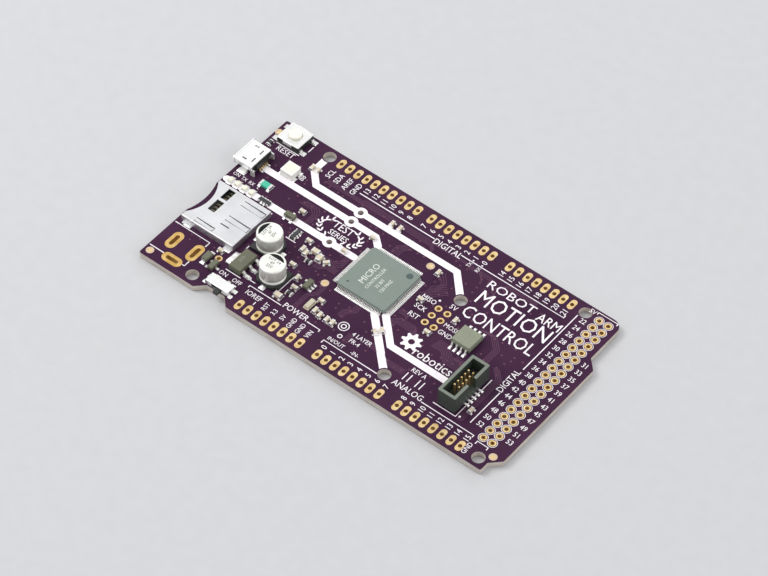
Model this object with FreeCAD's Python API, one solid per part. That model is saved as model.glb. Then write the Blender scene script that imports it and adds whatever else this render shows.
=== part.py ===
"""A bare microcontroller development board, as an assembly of its separate pieces.

A slotted and drilled FR4 board carries a micro-USB socket, a push-push memory-card socket, a
reset button, a slide power switch, a boxed debug header, the microcontroller and its support
chips. The header rows are plated holes with no pins fitted, and the barrel jack is left off.

Pieces are laid out in board coordinates: x from the socket end, y from the power-header edge and
z from the underside. The finished model has its origin at the underside of the mounting hole
beside the power switch. Every length is in millimetres.
"""

import FreeCAD
import Part
import math
import os

# Board
GRID = 2.54
BOARD_LENGTH = 101.52
BOARD_WIDTH = 53.34
BOARD_T = 1.6
BOARD_CORNER_R = 0.5
BOARD_FAR_CORNER_R = 2.5
END_STEP = 2.54
END_STEP_NEAR_Y = 2.6
END_STEP_FAR_Y = 12.5
MOUNT_HOLE_R = 1.6
GUIDE_HOLE_R = 0.55
LAND_T = 0.05
PLATING_T = 0.04
EDGE_TO_ROW = 2.54
EDGE_TO_DOUBLE_ROW = 5.0

# Header pads
OVAL_PAD_LENGTH = 3.1
OVAL_PAD_WIDTH = 1.6
ROUND_PAD_R = 0.9
PIN_DRILL_R = 0.5

# Barrel-jack pads
JACK_PAD_LENGTH = 5.5
JACK_PAD_WIDTH = 2.7
JACK_SLOT_LENGTH = 3.5
JACK_SLOT_WIDTH = 1.0

# Micro-USB socket
USB_WIDTH = 7.5
USB_LENGTH = 5.5
USB_HEIGHT = 2.65
USB_SHEET_T = 0.3
USB_OVERHANG = 0.8
USB_BOTTOM_WIDTH = 5.4
USB_CONTACT_PITCH = 0.65

# Memory-card socket
CARD_LENGTH = 15.4
CARD_WIDTH = 14.0
CARD_HEIGHT = 1.85
CARD_SHEET_T = 0.2
CARD_T = 0.7
CARD_GAP = 11.2
CARD_MOUTH_DEPTH = 2.1

# Reset button
BUTTON_LENGTH = 6.5
BUTTON_WIDTH = 6.0
BUTTON_BODY_H = 1.75
BUTTON_SHEET_T = 0.15
PLUNGER_R = 1.65
PLUNGER_TOP = 2.5

# Slide power switch
SWITCH_LENGTH = 6.7
SWITCH_DEPTH = 2.7
SWITCH_HEIGHT = 1.4
SWITCH_SHEET_T = 0.15
KNOB_WIDTH = 1.3
KNOB_REACH = 1.5
KNOB_TRAVEL = 1.5

# Microcontroller
MCU_SIZE = 14.0
MCU_HEIGHT = 1.1
MCU_LEAD_REACH = 1.2
MCU_LEAD_PITCH = 0.4
MCU_BARE_CORNER = 0.8

# Boxed debug header
DEBUG_LENGTH = 12.7
DEBUG_WIDTH = 4.9
DEBUG_HEIGHT = 5.1
DEBUG_WALL = 0.75
DEBUG_PITCH = 1.27
DEBUG_PIN_ROWS = 5
DEBUG_PIN = 0.4

# Electrolytic capacitors
CAN_R = 3.15
CAN_TOP = 5.4
CAN_BASE = 6.6
CAN_BASE_T = 0.9

# Running gaps, how far a cutter runs past what it cuts, and how near two lengths count as one
FIT = 0.05
SLIDE_GAP = 0.1
STAND_OFF = 0.05
PAST = 1.0
SAME = 1e-6

# Where a gull-wing lead turns down, as a share of the way from its root to its heel
SHOULDER_SHARE = 0.35


def far(y):
    """A distance from the digital-header edge as a board y."""
    return BOARD_WIDTH - y


def right(x):
    """A distance from the double-row end as a board x."""
    return BOARD_LENGTH - x


DATUM = FreeCAD.Vector(5.5 * GRID, GRID, 0)
FAR_ROW_Y = far(EDGE_TO_ROW)
NEAR_ROW_Y = EDGE_TO_ROW
MCU_SPOT = (48.15, 28.05)
USB_SPOT = (0, 38.3)
CARD_BACK_X = 16.6
CARD_SPOT = (CARD_BACK_X - CARD_LENGTH, 20.6)
BUTTON_SPOT = (5.6, far(3.64))
SWITCH_SPOT = (21.15, 3.85)
DEBUG_SPOT = (right(18.92), 15.05)
CAN_STEP = CAN_BASE + 0.1
CAN_SPOTS = [(22.3, 20.2, 90), (22.05 + CAN_STEP, 20.2 - CAN_STEP)]


# ---------------------------------------------------------------- small tools


def box(x0, x1, y0, y1, z0, z1):
    """A block between two corners."""
    return Part.makeBox(x1 - x0, y1 - y0, z1 - z0, FreeCAD.Vector(x0, y0, z0))


def block(length, width, z0, z1, x=0.0, y=0.0):
    """A block centred on x and y."""
    return box(x - length / 2, x + length / 2, y - width / 2, y + width / 2, z0, z1)


def cylinder(radius, z0, z1, x=0.0, y=0.0):
    """An upright cylinder."""
    return Part.makeCylinder(radius, z1 - z0, FreeCAD.Vector(x, y, z0))


def outline_face(corners):
    """A flat face inside the corners."""
    return Part.Face(Part.makePolygon(corners + corners[:1]))


def prism(points, z0, z1):
    """An outline in x and y, raised from z0 to z1."""
    face = outline_face([FreeCAD.Vector(x, y, z0) for x, y in points])
    return face.extrude(FreeCAD.Vector(0, 0, z1 - z0))


def side_prism(points, y0, y1):
    """An outline in x and z, drawn out from y0 to y1."""
    face = outline_face([FreeCAD.Vector(x, y0, z) for x, z in points])
    return face.extrude(FreeCAD.Vector(0, y1 - y0, 0))


def end_prism(points, x0, x1):
    """An outline in y and z, drawn out from x0 to x1."""
    face = outline_face([FreeCAD.Vector(x0, y, z) for y, z in points])
    return face.extrude(FreeCAD.Vector(x1 - x0, 0, 0))


def stadium(length, width, z0, z1):
    """A round-ended bar lying along x."""
    straight = (length - width) / 2
    bar = block(2 * straight, width, z0, z1)
    ends = [cylinder(width / 2, z0, z1, side * straight) for side in (-1, 1)]
    return bar.multiFuse(ends).removeSplitter()


def turned(profile):
    """A profile of (radius, z) points spun about z."""
    face = outline_face([FreeCAD.Vector(r, 0, z) for r, z in profile])
    return face.revolve(FreeCAD.Vector(0, 0, 0), FreeCAD.Vector(0, 0, 1), 360)


def between(side, inner, outer):
    """Two distances on one side of a middle line, lower one first."""
    return sorted((side * inner, side * outer))


def moved(shape, x=0.0, y=0.0, z=0.0, angle=0.0):
    """A copy turned about z through its own origin and then moved."""
    copy = shape.copy()
    spin = FreeCAD.Rotation(FreeCAD.Vector(0, 0, 1), angle)
    copy.Placement = FreeCAD.Placement(FreeCAD.Vector(x, y, z), spin).multiply(copy.Placement)
    return copy


def placed(shape, spot, z=0.0):
    """A copy at (x, y) or (x, y, angle)."""
    angle = spot[2] if len(spot) > 2 else 0.0
    return moved(shape, spot[0], spot[1], z, angle)


def on_board(shape, spot):
    """A copy standing on the board's top face."""
    return placed(shape, spot, BOARD_T)


def edges_along(shape, axis):
    """The straight edges that run along an axis, which is 0 for x, 1 for y and 2 for z."""
    found = []
    for edge in shape.Edges:
        span = edge.Vertexes[-1].Point - edge.Vertexes[0].Point
        lengths = [abs(value) for value in span]
        if lengths[axis] > SAME and sum(lengths) - lengths[axis] < SAME:
            found.append(edge)
    return found


def edges_at_top(shape, height):
    """The edges that lie at a height."""
    return [e for e in shape.Edges if max(abs(v.Z - height) for v in e.Vertexes) < SAME]


def rounded_upright(shape, radius):
    """Rounds the shape's vertical edges."""
    return shape.makeFillet(radius, edges_along(shape, 2))


def clipped_outline(x, y, clip):
    """The outline of a block that reaches x and y from its middle, its corners cut across."""
    if not clip:
        return [(-x, -y), (x, -y), (x, y), (-x, y)]
    return [
        (clip - x, -y),
        (x - clip, -y),
        (x, clip - y),
        (x, y - clip),
        (x - clip, y),
        (clip - x, y),
        (-x, y - clip),
        (-x, clip - y),
    ]


def tapered(low, z0, high, z1):
    """A solid with flat walls between two outlines that have the same number of corners."""
    bottom = [FreeCAD.Vector(x, y, z0) for x, y in low]
    top = [FreeCAD.Vector(x, y, z1) for x, y in high]
    faces = [outline_face(bottom), outline_face(top)]
    for i in range(len(bottom)):
        faces.append(outline_face([bottom[i - 1], bottom[i], top[i], top[i - 1]]))
    return Part.makeSolid(Part.makeShell(faces))


def moulded_body(length, width, z0, z1, draft=0.12, corner=0.0):
    """A moulded chip body that is widest at its parting line, with optional clipped corners."""
    middle = (z0 + z1) / 2
    waist = clipped_outline(length / 2, width / 2, corner)
    end = clipped_outline(length / 2 - draft, width / 2 - draft, corner)
    lower = tapered(end, z0, waist, middle)
    upper = tapered(waist, middle, end, z1)
    return lower.fuse(upper).removeSplitter()


def gull_lead(root_x, tip_x, exit_z, width, sheet, foot):
    """A gull-wing lead running out along x: level at exit_z, down, then a flat foot."""
    shoulder = root_x + SHOULDER_SHARE * (tip_x - foot - root_x)
    heel = tip_x - foot
    outline = [
        (root_x, exit_z - sheet / 2),
        (shoulder - sheet / 2, exit_z - sheet / 2),
        (heel - sheet / 2, 0),
        (tip_x, 0),
        (tip_x, sheet),
        (heel + sheet / 2, sheet),
        (shoulder + sheet / 2, exit_z + sheet / 2),
        (root_x, exit_z + sheet / 2),
    ]
    return side_prism(outline, -width / 2, width / 2)


def save(name, shapes):
    """Writes one node's solids, moved so that the datum hole is the origin."""
    solids = [solid for shape in shapes for solid in shape.Solids]
    at_datum = [moved(solid, -DATUM.x, -DATUM.y, -DATUM.z) for solid in solids]
    out = at_datum[0] if len(at_datum) == 1 else Part.makeCompound(at_datum)
    out.exportStep("parts/%s.step" % name)
    print("%-28s %3d solids %9.3f mm3" % (name, len(at_datum), sum(s.Volume for s in at_datum)))


os.makedirs("parts", exist_ok=True)


# ---------------------------------------------------------------- plated pads


def plated_pad(land, drill):
    """A land on each face joined by a plated barrel. Returns the pad and its outer envelope.

    land makes a solid outline between two heights, and drill makes the hole for a given growth.
    """
    top = land(BOARD_T - LAND_T, BOARD_T)
    bottom = land(0, LAND_T)
    barrel = drill(PLATING_T, LAND_T, BOARD_T - LAND_T)
    envelope = top.multiFuse([bottom, barrel])
    return envelope.cut(drill(0, -PAST, BOARD_T + PAST)), envelope


def oval_land(z0, z1):
    return moved(stadium(OVAL_PAD_LENGTH, OVAL_PAD_WIDTH, z0, z1), angle=90)


def round_land(z0, z1):
    return cylinder(ROUND_PAD_R, z0, z1)


def pin_drill(growth, z0, z1):
    return cylinder(PIN_DRILL_R + growth, z0, z1)


def jack_land(z0, z1):
    return stadium(JACK_PAD_LENGTH, JACK_PAD_WIDTH, z0, z1)


def jack_slot(growth, z0, z1):
    return stadium(JACK_SLOT_LENGTH + 2 * growth, JACK_SLOT_WIDTH + 2 * growth, z0, z1)


def row(first_x, count, y):
    """Spots along x, one grid step apart."""
    return [(first_x + i * GRID, y) for i in range(count)]


def two_columns(first_x, first_y, count):
    """Spots in two columns along y, one grid step apart."""
    return [(first_x + c * GRID, first_y + i * GRID) for i in range(count) for c in range(2)]


DIGITAL_SPOTS = row(7.4 * GRID, 10, FAR_ROW_Y)
DIGITAL_SPOTS += row(18 * GRID, 8, FAR_ROW_Y)
DIGITAL_SPOTS += row(27 * GRID, 8, FAR_ROW_Y)
ANALOG_SPOTS = row(20 * GRID, 8, NEAR_ROW_Y) + row(29 * GRID, 8, NEAR_ROW_Y)
POWER_SPOTS = row(11 * GRID, 8, NEAR_ROW_Y)
DOUBLE_ROW_Y = 3 * GRID
DOUBLE_ROW_COUNT = int((FAR_ROW_Y - DOUBLE_ROW_Y) / GRID + SAME) + 1
DOUBLE_ROW_SPOTS = two_columns(right(EDGE_TO_DOUBLE_ROW + GRID), DOUBLE_ROW_Y, DOUBLE_ROW_COUNT)
PROGRAMMING_SPOTS = two_columns(MCU_SPOT[0] + 15.48, MCU_SPOT[1] - 2.68, 3)
TEST_PAD_SPOT = (15.45, 10.1)
JACK_SPOTS = [(3.95, 7.9, 90), (10.2, 7.9, 90), (7.35, 3.05, 0)]
FIDUCIAL_R = 0.5
FIDUCIAL_SPOTS = [
    (0.95, far(4.0)),
    (1.6, 2.0),
    (38.9, 19.9),
    (54.4, 39.3),
    (right(2.6), 4.7),
]

cutters = []


def save_pads(name, land, drill, spots):
    """Saves one set of plated pads and remembers what they take out of the board."""
    pad, envelope = plated_pad(land, drill)
    cutters.extend(placed(envelope, spot) for spot in spots)
    save(name, [placed(pad, spot) for spot in spots])


save_pads("digital_header_pads", oval_land, pin_drill, DIGITAL_SPOTS)
save_pads("analog_header_pads", oval_land, pin_drill, ANALOG_SPOTS)
save_pads("power_header_pads", oval_land, pin_drill, POWER_SPOTS)
save_pads("double_row_pads", round_land, pin_drill, DOUBLE_ROW_SPOTS)
save_pads("programming_pads", round_land, pin_drill, PROGRAMMING_SPOTS + [TEST_PAD_SPOT])
save_pads("barrel_jack_pads", jack_land, jack_slot, JACK_SPOTS)

fiducials = [cylinder(FIDUCIAL_R, BOARD_T - LAND_T, BOARD_T, x, y) for x, y in FIDUCIAL_SPOTS]
save("fiducial_targets", fiducials)
cutters.extend(fiducials)


# ---------------------------------------------------------------- circuit board

MIDDLE_HOLES_X = 26 * GRID
END_TO_FAR_HOLE = 11.35
MOUNT_HOLE_SPOTS = [
    (DATUM.x, DATUM.y),
    (right(EDGE_TO_DOUBLE_ROW), GRID),
    (6 * GRID, FAR_ROW_Y),
    (right(END_TO_FAR_HOLE), FAR_ROW_Y),
    (MIDDLE_HOLES_X, 3 * GRID),
    (MIDDLE_HOLES_X, 14 * GRID),
]
GUIDE_HOLE_X = 31.85
GUIDE_HOLES_Y = (41.75, 38.25, 30.15)
SWITCH_NOTCH_DEPTH = 2.3
SWITCH_NOTCH_HALF = 2.6
SWITCH_NOTCH_MOUTH_HALF = 4.9
FINGER_NOTCH_DEPTH = 1.0
FINGER_NOTCH_CHORD = 10.6
FINGER_NOTCH_Y = CARD_SPOT[1] + 1.6
SWITCH_PEG_R = 0.4
SWITCH_PEG_SPREAD = 1.5
USB_LEG_X = USB_LENGTH - USB_OVERHANG + 0.25
USB_LEG_SLOT_LENGTH = 1.5
USB_LEG_SLOT_WIDTH = 0.7


def board_outline():
    """The board's outline as straight runs, with the step at its double-row end."""
    notch_x = SWITCH_SPOT[0]
    step_x = right(END_STEP)
    far_step = far(END_STEP_FAR_Y)
    return [
        (0, 0),
        (notch_x - SWITCH_NOTCH_MOUTH_HALF, 0),
        (notch_x - SWITCH_NOTCH_HALF, SWITCH_NOTCH_DEPTH),
        (notch_x + SWITCH_NOTCH_HALF, SWITCH_NOTCH_DEPTH),
        (notch_x + SWITCH_NOTCH_MOUTH_HALF, 0),
        (step_x, 0),
        (step_x, END_STEP_NEAR_Y),
        (BOARD_LENGTH, END_STEP_NEAR_Y + END_STEP),
        (BOARD_LENGTH, far_step - END_STEP),
        (step_x, far_step),
        (step_x, BOARD_WIDTH),
        (0, BOARD_WIDTH),
    ]


def board_hole(radius, x, y):
    """A cutter for a round hole right through the board."""
    return cylinder(radius, -PAST, BOARD_T + PAST, x, y)


def chord_radius(chord, depth):
    """The radius of a circle that cuts a chord this long at this depth."""
    return (chord**2 / 4 + depth**2) / (2 * depth)


def edges_at_corners(shape, corners):
    """The vertical edges that stand at the given corners."""
    found = []
    for edge in edges_along(shape, 2):
        foot = edge.Vertexes[0].Point
        if any(math.hypot(foot.x - x, foot.y - y) < SAME for x, y in corners):
            found.append(edge)
    return found


outline = board_outline()
far_corner = outline[-2]
plate = prism(outline, 0, BOARD_T)
plate = plate.makeFillet(BOARD_FAR_CORNER_R, edges_at_corners(plate, [far_corner]))
plate = plate.makeFillet(BOARD_CORNER_R, edges_at_corners(plate, outline))
notch_r = chord_radius(FINGER_NOTCH_CHORD, FINGER_NOTCH_DEPTH)
cutters.append(board_hole(notch_r, FINGER_NOTCH_DEPTH - notch_r, FINGER_NOTCH_Y))
cutters += [board_hole(MOUNT_HOLE_R, x, y) for x, y in MOUNT_HOLE_SPOTS]
cutters += [board_hole(GUIDE_HOLE_R, GUIDE_HOLE_X, y) for y in GUIDE_HOLES_Y]
leg_slot = stadium(USB_LEG_SLOT_LENGTH, USB_LEG_SLOT_WIDTH, -PAST, BOARD_T + PAST)
for side in (-1, 1):
    cutters.append(moved(leg_slot, USB_LEG_X, USB_SPOT[1] + side * (USB_WIDTH - USB_SHEET_T) / 2))
    peg_x = SWITCH_SPOT[0] + side * SWITCH_PEG_SPREAD
    cutters.append(board_hole(SWITCH_PEG_R + SLIDE_GAP, peg_x, SWITCH_SPOT[1]))
save("circuit_board", [plate.cut(Part.makeCompound(cutters))])


# ---------------------------------------------------------------- micro-USB socket

USB_WAIST = 1.27
USB_SLOPE_SHARE = 0.7
USB_BEND_R = 0.45
USB_LIP_FLARE = 0.18
USB_LIP_DEPTH = 0.35
USB_LATCH_LENGTH = 1.2
USB_LATCH_WIDTH = 0.45
USB_LATCH_X = 1.5
USB_LATCH_Y = 2.35
USB_TAB_LENGTH = 0.35
USB_TAB_WIDTH = 1.5
USB_TAB_X = 3.55
USB_TAB_Y = 1.5
USB_LEG_LENGTH = 1.1
USB_LEG_END_Z = 0.2 - BOARD_T
USB_WING_LOW = 0.87
USB_WING_HIGH = 1.77
USB_WING_LAP = 0.3
USB_FOOT_X = 2.2
USB_FOOT_LENGTH = 1.9
USB_FOOT_REACH = 0.95
USB_FOOT_TUCK = 0.4
USB_BLOCK_LENGTH = 1.3
USB_TONGUE_SETBACK = 0.9
USB_TONGUE_WIDTH = 3.7
USB_TONGUE_Z = (1.45, 2.0)
USB_HEEL_LENGTH = 0.35
USB_HEEL_WIDTH = 4.4
USB_HEEL_Z = (0.35, 1.9)
USB_CONTACTS = 5
USB_STRIP_WIDTH = 0.28
USB_STRIP_T = 0.1
USB_TAIL_REACH = 0.8
USB_TAIL_Z = 0.6
USB_TAIL_WIDTH = 0.3
USB_TAIL_T = 0.15
USB_TAIL_FOOT = 0.5

USB_FRONT = -USB_OVERHANG
USB_BACK = USB_FRONT + USB_LENGTH


def usb_tube(inset, x0, x1):
    """The socket's section taken in by inset: wide above, and clipped in towards its foot."""
    half = USB_WIDTH / 2 - inset
    foot = USB_BOTTOM_WIDTH / 2 - USB_SLOPE_SHARE * inset
    low = STAND_OFF + inset
    top = USB_HEIGHT - inset
    section = [(-foot, low), (foot, low), (half, USB_WAIST), (half, top), (-half, top), (-half, USB_WAIST)]
    tube = end_prism(section, x0, x1)
    return tube.makeFillet(USB_BEND_R - inset, edges_along(tube, 0))


def usb_shell():
    """The folded steel shell, with a flared mouth, latch windows, two legs and two feet."""
    lip = usb_tube(-USB_LIP_FLARE, USB_FRONT, USB_FRONT + USB_LIP_DEPTH)
    lip = lip.cut(usb_tube(0, USB_FRONT - PAST, USB_BACK))
    walls = usb_tube(0, USB_FRONT, USB_BACK).cut(usb_tube(USB_SHEET_T, USB_FRONT - PAST, USB_BACK + PAST))
    low = USB_HEIGHT - USB_SHEET_T - STAND_OFF
    high = USB_HEIGHT + PAST
    windows = []
    wings = []
    half = USB_WIDTH / 2
    leg_end = USB_LEG_X + USB_LEG_LENGTH / 2
    for side in (-1, 1):
        windows.append(block(USB_LATCH_LENGTH, USB_LATCH_WIDTH, low, high, USB_LATCH_X, side * USB_LATCH_Y))
        windows.append(block(USB_TAB_LENGTH, USB_TAB_WIDTH, low, high, USB_TAB_X, side * USB_TAB_Y))
        y0, y1 = between(side, half, half - USB_SHEET_T)
        wings.append(box(USB_BACK - USB_WING_LAP, leg_end, y0, y1, USB_WING_LOW, USB_WING_HIGH))
        wings.append(box(leg_end - USB_LEG_LENGTH, leg_end, y0, y1, USB_LEG_END_Z, USB_WING_LOW))
        y0, y1 = between(side, USB_BOTTOM_WIDTH / 2 - USB_FOOT_TUCK, half + USB_FOOT_REACH)
        foot_x = USB_FOOT_X - USB_FOOT_LENGTH / 2
        wings.append(box(foot_x, foot_x + USB_FOOT_LENGTH, y0, y1, 0, USB_SHEET_T))
    cavity = usb_tube(USB_SHEET_T, USB_FRONT - PAST, leg_end + PAST)
    wings = [wing.cut(cavity) for wing in wings]
    shell = walls.cut(Part.makeCompound(windows)).multiFuse([lip] + wings)
    return shell.removeSplitter()


def usb_insulator():
    """The moulded block at the back of the shell, with its tongue and its heel."""
    seat = usb_tube(USB_SHEET_T + FIT, USB_BACK - USB_BLOCK_LENGTH, USB_BACK + SLIDE_GAP)
    half = USB_TONGUE_WIDTH / 2
    tongue = box(USB_FRONT + USB_TONGUE_SETBACK, USB_BACK - USB_BLOCK_LENGTH, -half, half, *USB_TONGUE_Z)
    heel_x = USB_BACK + SLIDE_GAP
    heel_half = USB_HEEL_WIDTH / 2
    heel = box(heel_x, heel_x + USB_HEEL_LENGTH, -heel_half, heel_half, *USB_HEEL_Z)
    return seat.multiFuse([tongue, heel])


def usb_contacts():
    """Five strips under the tongue, each with its soldered tail behind the heel."""
    found = []
    strip_x = USB_FRONT + USB_TONGUE_SETBACK + 2 * SLIDE_GAP
    strip_top = USB_TONGUE_Z[0]
    tail_x = USB_BACK + SLIDE_GAP + USB_HEEL_LENGTH
    half = USB_STRIP_WIDTH / 2
    tail = gull_lead(tail_x, tail_x + USB_TAIL_REACH, USB_TAIL_Z, USB_TAIL_WIDTH, USB_TAIL_T, USB_TAIL_FOOT)
    for i in range(USB_CONTACTS):
        y = (i - (USB_CONTACTS - 1) / 2) * USB_CONTACT_PITCH
        strip_end = USB_BACK - USB_BLOCK_LENGTH
        found.append(box(strip_x, strip_end, y - half, y + half, strip_top - USB_STRIP_T, strip_top))
        found.append(moved(tail, 0, y))
    return found


save("usb_socket_shell", [on_board(usb_shell(), USB_SPOT)])
save("usb_socket_insulator", [on_board(usb_insulator(), USB_SPOT)])
save("usb_socket_contacts", [on_board(contact, USB_SPOT) for contact in usb_contacts()])


# ---------------------------------------------------------------- memory-card socket

CARD_BEND_R = 0.25
CARD_FLOOR_T = 0.25
CARD_FLOOR_X = 2.4
CARD_RAIL_TOP = CARD_HEIGHT - CARD_SHEET_T
CARD_BAY_NEAR = 2.2 - CARD_WIDTH / 2
CARD_BAY_FAR = CARD_BAY_NEAR + CARD_GAP
CARD_MOUTH_CHORD = 0.84 * CARD_WIDTH
CARD_MOUTH_Y = 0.3
CARD_WINDOW_X = (3.4, 5.4)
CARD_WINDOWS_Y = ((-1.7, 2.0), (2.8, 6.2))
CARD_SLIT_X = (8.7, 11.2)
CARD_SLIT_Y = (-3.4, -3.1)
FINGER_SLOT = 0.18
FINGER_DIP = 0.22
FINGER_NOSE = 0.9
FINGERS = [(8.7, 15.0, 4.75, 1.35), (8.7, 15.0, -0.95, 1.35), (3.2, 8.6, -5.85, 0.9)]
CARD_TAB_LENGTH = 1.6
CARD_TAB_REACH = 0.7
CARD_TABS_X = (1.4, CARD_LENGTH - 1.6)
SIDE_SLOTS_X = (4.6, 7.4, 10.2)
SIDE_SLOT_LENGTH = 1.0
SIDE_SLOT_Z = (0.5, 0.9)
NEAR_RAIL_T = 0.35
RAIL_DROP = 0.3
BACK_WALL_T = 0.7
CARD_CONTACTS = 8
CARD_CONTACT_PITCH = 1.1
CARD_CONTACT_Y = -1.9
CARD_CONTACT_WIDTH = 0.6
CARD_CONTACT_T = 0.12
CARD_CONTACT_LINE = [(3.6, 0.45), (4.2, 0.75), (8.0, 0.0), (9.0, 0.0)]

CARD_BACK = CARD_LENGTH - CARD_SHEET_T - FIT


def finger_slot(x0, x1, y, width):
    """The slot that is lanced round a tongue in the lid."""
    half = width / 2 + FINGER_SLOT
    return box(x0, x1 + FINGER_SLOT, y - half, y + half, CARD_RAIL_TOP - PAST, CARD_HEIGHT + PAST)


def finger_tongue(x0, x1, y, width):
    """A tongue in the lid that dips to its nose, so that it bears on the card."""
    z = CARD_HEIGHT
    nose = x1 - FINGER_NOSE
    section = [
        (x0, z - CARD_SHEET_T),
        (nose, z - CARD_SHEET_T - FINGER_DIP),
        (x1, z - CARD_SHEET_T - STAND_OFF),
        (x1, z - STAND_OFF),
        (nose, z - FINGER_DIP),
        (x0, z),
    ]
    return side_prism(section, y - width / 2, y + width / 2)


def card_shell():
    """The folded steel lid with its round finger cut-out, windows and sprung tongues."""
    half = CARD_WIDTH / 2
    inner = half - CARD_SHEET_T
    lid = box(0, CARD_LENGTH, -half, half, 0, CARD_HEIGHT)
    bends = [e for e in edges_at_top(lid, CARD_HEIGHT) if e.CenterOfMass.x > SAME]
    lid = lid.makeFillet(CARD_BEND_R, bends)
    mouth_r = chord_radius(CARD_MOUTH_CHORD, CARD_MOUTH_DEPTH)
    low = CARD_RAIL_TOP - STAND_OFF
    high = CARD_HEIGHT + PAST
    cuts = [
        box(-PAST, CARD_LENGTH - CARD_SHEET_T, -inner, inner, -PAST, CARD_RAIL_TOP),
        cylinder(mouth_r, -PAST, high, CARD_MOUTH_DEPTH - mouth_r, CARD_MOUTH_Y),
        box(*CARD_SLIT_X, *CARD_SLIT_Y, low, high),
    ]
    cuts += [box(*CARD_WINDOW_X, *span, low, high) for span in CARD_WINDOWS_Y]
    cuts += [finger_slot(*finger) for finger in FINGERS]
    tabs = []
    for side in (-1, 1):
        for x in SIDE_SLOTS_X:
            y0, y1 = between(side, inner - STAND_OFF, half + PAST)
            cuts.append(box(x - SIDE_SLOT_LENGTH / 2, x + SIDE_SLOT_LENGTH / 2, y0, y1, *SIDE_SLOT_Z))
        for x in CARD_TABS_X:
            y0, y1 = between(side, half, half + CARD_TAB_REACH)
            tabs.append(box(x - CARD_TAB_LENGTH / 2, x + CARD_TAB_LENGTH / 2, y0, y1, 0, CARD_SHEET_T))
    for cut in cuts:
        lid = lid.cut(cut)
    return lid.multiFuse([finger_tongue(*finger) for finger in FINGERS] + tabs).removeSplitter()


def card_base():
    """The moulded floor, side rails and back wall, with the slider's channel on the near side."""
    half = CARD_WIDTH / 2 - CARD_SHEET_T - FIT
    channel = -half + NEAR_RAIL_T
    far_rail = CARD_BAY_FAR + SLIDE_GAP
    wall_top = CARD_RAIL_TOP - RAIL_DROP
    return box(CARD_FLOOR_X, CARD_BACK, -half, half, STAND_OFF, CARD_FLOOR_T).multiFuse(
        [
            box(CARD_FLOOR_X, CARD_BACK, far_rail, half, CARD_FLOOR_T, CARD_RAIL_TOP - FIT),
            box(CARD_FLOOR_X, CARD_BACK, -half, channel, CARD_FLOOR_T, wall_top),
            box(CARD_BACK - BACK_WALL_T, CARD_BACK, channel, far_rail, CARD_FLOOR_T, wall_top),
        ]
    ).removeSplitter()


def card_contacts():
    """Eight sprung strips on the floor that rise towards the mouth."""
    under = [(x, CARD_FLOOR_T + rise) for x, rise in CARD_CONTACT_LINE]
    over = [(x, z + CARD_CONTACT_T) for x, z in reversed(under)]
    strip = side_prism(under + over, -CARD_CONTACT_WIDTH / 2, CARD_CONTACT_WIDTH / 2)
    return [moved(strip, y=CARD_CONTACT_Y + i * CARD_CONTACT_PITCH) for i in range(CARD_CONTACTS)]


SLIDER_X = 8.2
SLIDER_LENGTH = 2.9
SLIDER_TOE_X = (1.6, 2.9)
SLIDER_TOE_REACH = 2.0
SLIDER_HEADROOM = 0.45
SLIDER_NEAR = FIT + SLIDE_GAP + CARD_SHEET_T + NEAR_RAIL_T - CARD_WIDTH / 2
SLIDER_FAR = CARD_BAY_NEAR + SLIDE_GAP
HEART_X = (0.5, 2.2)
HEART_Y = (0.25, 0.65)
HEART_DEPTH = 0.3
SPRING_R = 0.42
SPRING_WIRE = 0.12
SPRING_TURNS = 6
SPRING_END_GAP = 0.02
LATCH_WIRE = 0.2
LATCH_X = 4.2
LATCH_PIN_X = SLIDER_X + 1.8
LATCH_Y = SLIDER_NEAR + 0.35
LATCH_Z = CARD_RAIL_TOP - 0.42
LEAF_T = 0.12
LEAF_LENGTH = 2.9
LEAF_Z = (CARD_FLOOR_T + 0.1, CARD_FLOOR_T + 0.7)
LEAF_TAIL = (0.5, 0.7)


def card_slider():
    """The ejector: a block in the near channel with a toe that the card pushes on."""
    z0 = CARD_FLOOR_T + SLIDE_GAP
    z1 = CARD_RAIL_TOP - SLIDER_HEADROOM
    body = box(SLIDER_X, SLIDER_X + SLIDER_LENGTH, SLIDER_NEAR, SLIDER_FAR, z0, z1)
    toe_x = [SLIDER_X + x for x in SLIDER_TOE_X]
    toe = box(*toe_x, SLIDER_FAR, SLIDER_FAR + SLIDER_TOE_REACH, z0, z0 + CARD_T)
    heart_x = [SLIDER_X + x for x in HEART_X]
    heart_y = [SLIDER_NEAR + y for y in HEART_Y]
    heart = box(*heart_x, *heart_y, z1 - HEART_DEPTH, z1 + PAST)
    return body.fuse(toe).cut(heart)


def card_spring():
    """The coil spring between the slider and the back wall."""
    x0 = SLIDER_X + SLIDER_LENGTH + SPRING_END_GAP
    x1 = CARD_BACK - BACK_WALL_T - SPRING_END_GAP
    y = (SLIDER_NEAR + SLIDER_FAR) / 2
    z = CARD_FLOOR_T + SPRING_R + SLIDE_GAP
    coil_r = SPRING_R - SPRING_WIRE / 2
    pitch = (x1 - x0 - 2 * SPRING_WIRE) / SPRING_TURNS
    helix = Part.makeHelix(pitch, pitch * SPRING_TURNS, coil_r)
    wire = Part.makeCircle(SPRING_WIRE / 2, FreeCAD.Vector(coil_r, 0, 0), FreeCAD.Vector(0, 1, 0))
    coil = Part.Wire(helix).makePipeShell([Part.Wire(wire)], True, True)
    lay = FreeCAD.Rotation(FreeCAD.Vector(0, 1, 0), 90)
    coil.Placement = FreeCAD.Placement(FreeCAD.Vector(x0 + SPRING_WIRE, y, z), lay)
    return coil


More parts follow.
